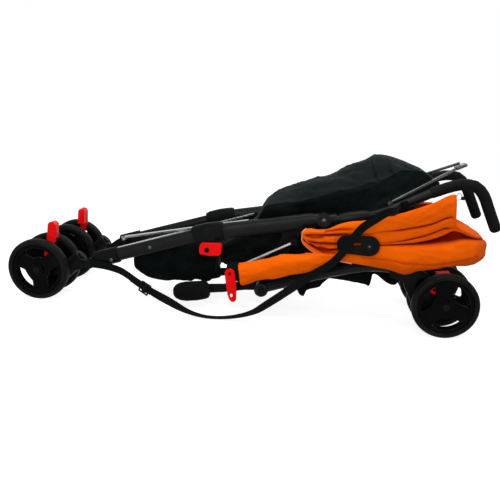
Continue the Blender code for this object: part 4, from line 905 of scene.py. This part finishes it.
BUNCH_FOLDS = [
    [(0.64, 0.2085), (0.6694, 0.215), (0.705, 0.218)],
    [(0.6368, 0.2), (0.6694, 0.205), (0.7063, 0.207)],
    [(0.6, 0.1975), (0.6165, 0.194), (0.634, 0.1965)],
    [(0.6066, 0.185), (0.6341, 0.1815), (0.6754, 0.183)],
    [(0.6092, 0.1797), (0.6227, 0.1699), (0.638, 0.1624), (0.665, 0.164)],
    [(0.63, 0.173), (0.65, 0.169), (0.678, 0.17)]
]
WING_Y = 0.111
HOOD_FRONT = 0.592
FAN_CENTRE = Vector((0.735, 0.187))
BRACKET_X = 0.732
BRACKET_Z = 0.186
BRACKET_FRONT = 0.684
BRACKET_R = 0.0215
HOOD_CORNER = Vector((0.896, 0.051))
HOOD_CORNER_R = 0.06
CORNER_STRETCH = 1.15
SIDE_STEPS = 150
CORNER_STEPS = 30
BACK_STEPS = 12
# Where along the hood its front is bunched, its pleats stand open and its lobe has a fold.
BUNCH_ZONE = (HOOD_FRONT, 0.612, 0.64, 0.69)
PLEAT_ZONE = (HOOD_FRONT, 0.606, 0.884, 0.9)
LOBE_ZONE = (0.715, 0.76, 0.9, 0.95)
HOOD_WAVES = [(0.055, 0.04, 0.003, 0.0), (0.022, 0.012, 0.0014, 5.0)]
HOOD_CREASES = [(0.06, 0.022, 0.0011, 9.0)]
FAN_RIPPLES = 66
RIPPLE_DEPTH = 0.0005
LOBE_FOLD_DEPTH = 0.0022
BUNCH_FOLD_DEPTH = 0.0056
UNDER_BRACKET = 0.0064

# %% The hood's section


def pleat(out, height, depth):
    """The points where the sheet folds under itself at one height. The third value is their painted shade."""
    return [(out, height - 0.0014 * depth, 0.3), (out - 0.004 * depth, height - 0.0004 * depth, 0.8 * depth),
            (out - 0.0084 * depth, height + 0.005 * depth, 1.0),
            (out - 0.0112 * depth, height + 0.001 * depth, 1.0),
            (out - 0.009 * depth, height - 0.0044 * depth, 0.85 * depth),
            (out - 0.003 * depth, height - 0.0068 * depth, 0.35 * depth)]


def hood_section(x, far):
    """The sheet's section there as (outwards, up, painted shade). Far is 0 on the left side and 1 on the right.
    """
    near_top, wing_low, roll, low, fat = (read(table, x)
                                          for table in (HOOD_TOP, WING_LOW, LOBE_TOP, HOOD_LOW, LOBE_FAT))
    top = mix(near_top, min(near_top, read(HOOD_FAR_TOP, x)), far)
    squeeze = (top - wing_low) / (near_top - wing_low)
    first, second = (wing_low + (read(table, x) - wing_low) * squeeze for table in (FIRST_PLEAT, SECOND_PLEAT))
    bunch = band(x, *BUNCH_ZONE)
    behind = eased(0.892, 0.925, x)
    deep = eased(0.76, 0.83, x) * (1 - 0.5 * behind)
    open_pleat = 0.4 + 0.6 * eased(0.015, 0.07, abs(x - FAN_CENTRE.x))
    depth = open_pleat * band(x, *PLEAT_ZONE)
    wing = [(-0.0045 - 0.02 * behind, top - 0.005), (-0.0025 - 0.014 * behind, top - 0.0008),
            (0.001 - 0.006 * behind, top - 0.0006), (0.0046 + 0.002 * bunch, mix(top, first, 0.22)),
            (0.0064 + 0.004 * bunch, mix(top, first, 0.55)), (0.0062 + 0.003 * bunch, mix(top, first, 0.86)),
            *pleat(0.0056 + 0.002 * bunch, first, depth),
            (0.0044 + 0.003 * bunch, mix(first, second, 0.38)),
            (0.0056 + 0.003 * bunch, mix(first, second, 0.76)),
            *pleat(0.005 + 0.002 * bunch, second, depth),
            (0.0036, mix(second, wing_low, 0.5)), (0.0028 - 0.001 * deep, wing_low + 0.0008)]
    # Painted shade: the wing a little darker towards the back, the pleats' slits and the hollow under the wing
    # dark.
    dim = 0.15 * eased(0.7, 0.8, x)
    hollow = [(0.0004 - 0.008 * deep, wing_low + 0.0002, 0.9),
              (-0.003 - 0.022 * deep, mix(wing_low, roll, 0.22), 1.0),
              (-0.004 - 0.026 * deep, mix(wing_low, roll, 0.66), 1.0),
              (-0.002 - 0.014 * deep, roll + 0.0002, 1.0), (0.0032 + 0.004 * fat, roll - 0.0004, 0.4)]
    lobe = [(0.0056 + 0.0088 * fat, mix(roll, low, 0.1)), (0.0064 + 0.0108 * fat, mix(roll, low, 0.28)),
            (0.0066 + 0.0112 * fat, mix(roll, low, 0.5)), (0.0062 + 0.01 * fat, mix(roll, low, 0.7)),
            (0.0048 + 0.0068 * fat, mix(roll, low, 0.86)), (0.0022 + 0.002 * fat, low + 0.001),
            (-0.0016, low - 0.0002), (-0.0055, mix(low, roll, 0.12)),
            (-0.008 - 0.006 * behind, mix(low, roll, 0.4)), (-0.008 - 0.006 * behind, mix(low, roll, 0.7)),
            (-0.006 - 0.004 * behind, mix(low, roll, 0.92))]
    line = [(*point, dim)[:3] for point in wing] + hollow + [(*point, 0.0) for point in lobe]
    return smooth_line([Vector(point) for point in line], 3)


def hood_route():
    """The plan of the hood from the left front edge round the back to the right one, with its way outwards."""
    route = [(mix(HOOD_FRONT, HOOD_CORNER.x, k / SIDE_STEPS), -WING_Y, Vector((0, -1)))
             for k in range(SIDE_STEPS)]
    for k in range(CORNER_STEPS + 1):
        angle = math.pi / 2 * k / CORNER_STEPS
        route.append((HOOD_CORNER.x + CORNER_STRETCH * HOOD_CORNER_R * math.sin(angle),
                      -HOOD_CORNER.y - HOOD_CORNER_R * math.cos(angle),
                      Vector((math.sin(angle) / CORNER_STRETCH, -math.cos(angle))).normalized()))
    for k in range(1, BACK_STEPS):
        route.append((route[-1][0] + 0.0004, HOOD_CORNER.y * (k / BACK_STEPS - 1), Vector((1, 0))))
    back = [(route[-1][0], 0.0, Vector((1, 0)))]
    return route + back + [(x, -y, Vector((out.x, -out.y))) for x, y, out in reversed(route)]


def hood_point(x, y, out, offset, height, shade):
    """A point of the hood with its uneven folds and its painted shade, kept behind the bracket."""
    spot = Vector((x, y, height))
    from_centre = Vector((x, height)) - FAN_CENTRE
    reach = eased(0.03, 0.09, from_centre.length)
    fan = math.atan2(from_centre.y, abs(from_centre.x))
    ripple = math.sin(fan * FAN_RIPPLES + noise.noise(spot * 9) * 3) * RIPPLE_DEPTH
    loose = waves(spot, HOOD_WAVES) + (ripple + creases(spot, HOOD_CREASES)) * reach
    loose -= LOBE_FOLD_DEPTH * groove(x, height, LOBE_FOLD, 0.0028) * band(x, *LOBE_ZONE)
    tight = max(groove(x, height, line, 0.0029) for line in BUNCH_FOLDS) * (1 - eased(0.68, 0.71, x))
    loose -= BUNCH_FOLD_DEPTH * tight
    offset += loose * (0.35 + 0.65 * reach)
    beside = max(BRACKET_FRONT - x, x - BRACKET_X, 0.0)
    clear = math.hypot(beside, height - BRACKET_Z) - BRACKET_R
    offset = min(offset, mix(UNDER_BRACKET, 0.03, eased(0.002, 0.016, clear)))
    # Painted shade: around the bracket, below the lobe's fold and in the creases of the lobe and the bunched
    # front.
    edge = read(LOBE_FOLD, x)
    behind_bracket = 0.35 * (1 - eased(0.0, 0.008, clear))
    under_lobe = 0.3 * (1 - eased(edge - 0.005, edge + 0.001, height)) * eased(0.715, 0.75, x)
    in_fold = max(0.9 * tight, 0.55 * groove(x, height, LOBE_FOLD, 0.0034))
    shade = clamped(max(shade, behind_bracket, under_lobe, in_fold))
    return (*at(x + out.x * offset, y + out.y * offset, height), shade)


# %% The hood
BORE_R = 0.01
rows = []
for x, y, out in hood_route():
    rows.append([hood_point(x, y, out, *spot) for spot in hood_section(x, far=eased(-0.045, 0.045, y))])
bm = laid(rows)
pivot = at(BRACKET_X, 0, BRACKET_Z)
bored = []
for face in bm.faces:
    spot = face.calc_center_median() - pivot
    if abs(spot.y) > 0.09 and math.hypot(spot.x, spot.z) < BORE_R:
        bored.append(face)
bmesh.ops.delete(bm, geom=bored, context="FACES")
HOOD_AREA = cloth_area(bm)
print("hood cloth:", HOOD_AREA, "square metres")
hood = thickened(as_object("folded_hood", bm, ORANGE_CLOTH, sharp=75), 0.0012)
stretch(hood, "canopy")

FRONT_EDGE = [
    (0.6, 0.211), (0.596, 0.2085), (0.5915, 0.2035), (0.5912, 0.195), (0.5916, 0.1853), (0.596, 0.178),
    (0.604, 0.1705), (0.6169, 0.1625), (0.6366, 0.1535), (0.656, 0.1482), (0.6772, 0.1456), (0.7004, 0.143)
]
for side, sign in (("left", -1), ("right", 1)):
    line = smooth_line([at(x, sign * 0.1135, z) for x, z in FRONT_EDGE], 6)
    piping(f"hood_piping_{side}", line, 0.0013, PALE_PIPING, f"canopy_{side}")

# %% [markdown]
# A toggle on a thin loop closes the hood's rear corner. The toggle is turned like a wheel, and the loop is a
# fine piping along a few points.

# %% Toggle and loop
TOGGLE_Y = -0.106
TOGGLE_SECTION = [
    (0.0, -0.0042), (0.0024, -0.0042), (0.0036, -0.003), (0.004, 0.0), (0.0034, 0.0034), (0.0, 0.0042)
]
LOOP_LINE = [
    (0.895, 0.299), (0.899, 0.3065), (0.9045, 0.3035), (0.908, 0.297), (0.904, 0.2935), (0.8965, 0.2925)
]
bm = turned(TOGGLE_SECTION, 24)
bmesh.ops.rotate(bm, cent=(0, 0, 0), matrix=Matrix.Rotation(math.radians(80), 3, "Z"), verts=bm.verts)
bmesh.ops.translate(bm, vec=at(0.9085, TOGGLE_Y, 0.2965), verts=bm.verts)
fasten(as_object("hood_toggle", bm, MOULDED_BLACK, 50), "canopy_left")
line = smooth_line([at(x, TOGGLE_Y, z) for x, z in LOOP_LINE], 5)
piping("toggle_loop", line, 0.0006, WEBBING, "canopy_left")

# %% [markdown]
# The seat is a flat padded seat and back that folds to a narrow black parcel between the tubes. Its top breaks
# over a fold line on each side, and the walls below that line lean inwards; over the front part of the seat
# their shade is painted into the cloth. Two seams cross the top where the back's panels meet.

# %% The folded seat
SEAT_TOP = [
    (0.404, 0.148), (0.412, 0.16), (0.448, 0.18), (0.478, 0.198), (0.498, 0.24), (0.51, 0.253),
    (0.535, 0.272), (0.5765, 0.289), (0.6525, 0.32), (0.6841, 0.337), (0.7258, 0.357), (0.743, 0.3625),
    (0.7646, 0.3605), (0.8, 0.3535), (0.8315, 0.3415), (0.855, 0.33), (0.872, 0.32), (0.88, 0.314)
]
SEAT_LOW = [
    (0.404, 0.118), (0.412, 0.106), (0.448, 0.096), (0.478, 0.102), (0.535, 0.124), (0.575, 0.138),
    (0.65, 0.156), (0.7, 0.164), (0.74, 0.176), (0.772, 0.198), (0.826, 0.252), (0.85, 0.278),
    (0.872, 0.296), (0.88, 0.303)
]
SEAT_FOLD = [
    (0.404, 0.14), (0.448, 0.17), (0.478, 0.188), (0.5, 0.233), (0.51, 0.246), (0.5846, 0.264),
    (0.6181, 0.275), (0.6741, 0.2925), (0.7087, 0.304), (0.7378, 0.3155), (0.7528, 0.3215), (0.7682, 0.33),
    (0.79, 0.34), (0.8259, 0.339), (0.85, 0.328), (0.88, 0.312)
]
SEAT_HALF = [
    (0.404, 0.037), (0.412, 0.061), (0.448, 0.069), (0.575, 0.0715), (0.74, 0.07), (0.772, 0.065),
    (0.8, 0.052), (0.826, 0.04), (0.85, 0.031), (0.872, 0.02), (0.88, 0.009)
]
# Two seams and a valley below the back: their line, width, depth and shade.
SEAT_GROOVES = [
    ([(0.7256, 0.36), (0.7305, 0.3346), (0.74, 0.3154)], 0.002, 0.0022, 0.85),
    ([(0.7518, 0.368), (0.7565, 0.3605), (0.7668, 0.337), (0.7744, 0.3304)], 0.002, 0.0022, 0.85),
    ([(0.7177, 0.2775), (0.749, 0.2797), (0.7728, 0.29), (0.7883, 0.2996), (0.803, 0.3062)], 0.0065, 0.005, 0.6)
]
SEAT_WAVES = [(0.06, 0.045, 0.007, 0.0), (0.03, 0.014, 0.003, 3.0)]
SEAT_CREASES = [(0.09, 0.03, 0.0044, 7.0), (0.04, 0.02, 0.0022, 11.0)]
HOLLOW_SHADE = 60
SEAT_STEPS = 280
SEAT_FRONT = SEAT_TOP[0][0]
SEAT_BACK = SEAT_TOP[-1][0]


def seat_ring(x):
    """The closed section of the seat there."""
    top, low, fold, half = (read(table, x) for table in (SEAT_TOP, SEAT_LOW, SEAT_FOLD, SEAT_HALF))
    side = [(0.0, top), (0.34 * half, mix(top, fold, 0.07)), (0.68 * half, mix(top, fold, 0.34)),
            (0.94 * half, mix(top, fold, 0.74)), (1.1 * half, fold + 0.001), (1.08 * half, fold - 0.0035),
            (0.99 * half, mix(fold, low, 0.16)), (0.97 * half, mix(fold, low, 0.42)),
            (0.97 * half, mix(fold, low, 0.7)), (0.9 * half, mix(fold, low, 0.9)),
            (0.66 * half, low + 0.0006), (0.33 * half, low)]
    return ring_of(side, low)


def seat_point(x, y, z):
    """A point of the seat with its seams and folds."""
    spot = Vector((x, y, z))
    half, top, low, fold = (read(table, x) for table in (SEAT_HALF, SEAT_TOP, SEAT_LOW, SEAT_FOLD))
    sunk = 0.0
    # Painted shade: the walls below the fold line over the front part of the seat, and along the seams and the
    # valley.
    shade = 0.95 * (1 - eased(0.7, 0.75, x)) * (1 - eased(fold - 0.014, fold + 0.001, z))
    if abs(y) > 0.2 * half:
        for line, width, depth, dark in SEAT_GROOVES:
            share = groove(x, z, line, width)
            sunk += depth * share
            shade = max(shade, dark * share)
    loose = waves(spot, SEAT_WAVES) + creases(spot, SEAT_CREASES)
    push = (loose - sunk) * eased(0.008, 0.06, half)
    aside = Vector((y / max(half, 0.001), (z - (top + low) / 2) / max((top - low) / 2, 0.001))).normalized()
    return (*at(x, y + aside.x * push, z + aside.y * push * 0.6), clamped(shade - loose * HOLLOW_SHADE))


rows = []
for k in range(SEAT_STEPS + 1):
    x = mix(SEAT_FRONT, SEAT_BACK, k / SEAT_STEPS)
    rows.append([seat_point(x, y, z) for y, z in seat_ring(x)])
seat = as_object("folded_seat", laid(rows, joined=True), BLACK_CLOTH, 70)
stretch(seat, "seat_fabric")

# %% [markdown]
# The basket below the seat and the panel behind the calves are thin cloth, gathered between the legs. Their
# lower edges hang in points where the cloth is caught, so those edges have sharp corners.

# %% Basket and calf panel
BAG_STEPS = 170
BASKET_TOP = [
    (0.524, 0.099), (0.531, 0.114), (0.57, 0.131), (0.64, 0.149), (0.72, 0.157), (0.788, 0.155),
    (0.808, 0.148), (0.822, 0.13)
]
BASKET_LOW = [
    (0.524, 0.08), (0.531, 0.066), (0.56, 0.058), (0.575, 0.053), (0.586, 0.059), (0.5965, 0.045),
    (0.6035, 0.043), (0.61, 0.058), (0.638, 0.068), (0.646, 0.079), (0.66, 0.09), (0.705, 0.087),
    (0.738, 0.083), (0.747, 0.08), (0.75, 0.09), (0.752, 0.108), (0.756, 0.109), (0.784, 0.092),
    (0.802, 0.086), (0.812, 0.093), (0.817, 0.105), (0.822, 0.12)
]
BASKET_HALF = [
    (0.524, 0.044), (0.531, 0.0702), (0.57, 0.0705), (0.6, 0.0675), (0.64, 0.0665), (0.788, 0.0665),
    (0.808, 0.058), (0.822, 0.03)
]
CALF_TOP = [
    (0.205, 0.107), (0.212, 0.1265), (0.25, 0.1375), (0.285, 0.1445), (0.305, 0.1485), (0.385, 0.1505),
    (0.395, 0.144), (0.3995, 0.13)
]
CALF_LOW = [
    (0.205, 0.096), (0.212, 0.079), (0.235, 0.064), (0.25, 0.058), (0.27, 0.056), (0.308, 0.052),
    (0.34, 0.052), (0.356, 0.06), (0.372, 0.053), (0.385, 0.056), (0.395, 0.072), (0.3995, 0.09)
]
CALF_HALF = [
    (0.205, 0.05), (0.212, 0.0735), (0.25, 0.0772), (0.285, 0.076), (0.305, 0.0575), (0.385, 0.0545),
    (0.395, 0.0525), (0.3995, 0.036)
]


def bag(name, cad_name, tables, seed):
    """A thin cloth bag between the sides, with hanging edges and creases. Returns it and its cloth's area."""
    start = tables[0][0][0]
    end = tables[0][-1][0]
    rows = []
    for k in range(BAG_STEPS + 1):
        x = mix(start, end, k / BAG_STEPS)
        top, low, half = (read(table, x) for table in tables)
        side = [(0.0, top - 0.001), (0.5 * half, top), (0.86 * half, top - 0.001), (half, mix(top, low, 0.08)),
                (half, mix(top, low, 0.32)), (0.99 * half, mix(top, low, 0.62)),
                (0.97 * half, mix(top, low, 0.86)), (0.92 * half, low), (0.84 * half, mix(low, top, 0.05)),
                (0.5 * half, mix(low, top, 0.1))]
        row = []
        for y, z in ring_of(side, mix(low, top, 0.1)):
            spot = Vector((x, y, z))
            size = eased(0.0, 0.012, min(x - start, end - x)) * eased(0.2, 0.9, abs(y) / half)
            push = waves(spot, [(0.05, 0.03, 0.005, seed)]) + creases(spot, [(0.05, 0.02, 0.0026, seed + 4)])
            across = y + (abs(push) - 0.0015) * size * math.copysign(1.0, y)
            # Painted shade: the bag's walls are darkened all over, and most in the hollows of its creases.
            row.append((*at(x, across, z), clamped(0.85 - push * HOLLOW_SHADE, low=0.25)))
        rows.append(row)
    bm = laid(rows, joined=True)
    area = cloth_area(bm)
    print(name, area, "square metres")
    made = thickened(as_object(name, bm, BLACK_CLOTH, 70), 0.0009)
    stretch(made, cad_name)
    return made, area


basket, area = bag("gathered_basket", "basket_fabric", (BASKET_TOP, BASKET_LOW, BASKET_HALF), 2.0)
calf, area = bag("gathered_calf_panel", "calf_panel", (CALF_TOP, CALF_LOW, CALF_HALF), 6.0)

# %% [markdown]
# The armrest pads are stuffed orange sleeves. They puff out between a seam above and one below, pucker at the
# piped front end and run out into a flat tab behind.

# %% Armrest pads
PAD_ROUTE = [
    (0.465, 0.1), (0.468, 0.1008), (0.5, 0.1115), (0.54, 0.1245), (0.58, 0.134), (0.615, 0.142),
    (0.642, 0.1495), (0.66, 0.153)
]
PAD_SIZE = [
    (0.465, 0.92), (0.468, 1.02), (0.48, 1.03), (0.5, 1.0), (0.54, 1.03), (0.58, 0.98), (0.615, 0.8),
    (0.642, 0.52), (0.66, 0.3)
]
PAD_THIN = [(0.465, 1.0), (0.59, 1.0), (0.642, 0.7), (0.66, 0.3)]
PAD_HIGH = 0.0225
PAD_WIDE = 0.0185
PAD_Y = 0.121
PAD_FRONT = PAD_ROUTE[0][0]
PAD_BACK = PAD_ROUTE[-1][0]
PAD_STEPS = 110
PAD_TURNS = 56
SLOPE_STEP = 0.002
PAD_WAVES = [(0.034, 0.02, 0.003, 13.0)]
PAD_CREASES = [(0.04, 0.024, 0.0012, 17.0)]
SEAM_DEPTH = 0.0009
PUCKERS = 11


def pad_ring(x, sign, swell=1.0):
    """The pad's section there, square to its route. Its corners are a little fuller than a circle's."""
    height = read(PAD_ROUTE, x)
    rise = read(PAD_ROUTE, x + SLOPE_STEP) - read(PAD_ROUTE, x - SLOPE_STEP)
    ahead = Vector((2 * SLOPE_STEP, rise)).normalized()
    size = read(PAD_SIZE, x) * swell
    thin = read(PAD_THIN, x)
    ring = []
    for k in range(PAD_TURNS + 1):
        angle = 2 * math.pi * k / PAD_TURNS
        wide, high = (math.copysign(abs(part) ** 0.86, part) for part in (math.cos(angle), math.sin(angle)))
        seam = SEAM_DEPTH * math.exp(-(math.cos(angle) / 0.06) ** 2)
        pucker = SEAM_DEPTH * math.sin(angle * PUCKERS + 0.7) * math.exp(-abs(x - 0.47) / 0.01)
        spot = Vector((x, sign * wide * 0.02, high * 0.02))
        loose = waves(spot, PAD_WAVES) + creases(spot, PAD_CREASES) + pucker
        radius = size + (loose - seam) / PAD_HIGH
        up = high * PAD_HIGH * radius
        out = wide * PAD_WIDE * radius * thin
        ring.append(at(x - ahead.y * up, sign * (PAD_Y + out), height + ahead.x * up))
    return ring


for side, sign in (("left", -1), ("right", 1)):
    rows = [pad_ring(mix(PAD_FRONT, PAD_BACK, k / PAD_STEPS), sign) for k in range(PAD_STEPS + 1)]
    pad = as_object(f"stuffed_pad_{side}", laid(rows, joined=True), ORANGE_CLOTH, 60)
    mount(pad, f"armrest_pad_{side}")
    piping(f"pad_piping_{side}", pad_ring(0.4672, sign, 1.01), 0.0011, ORANGE_CLOTH,
           BODY_OF[f"armrest_pad_{side}"])
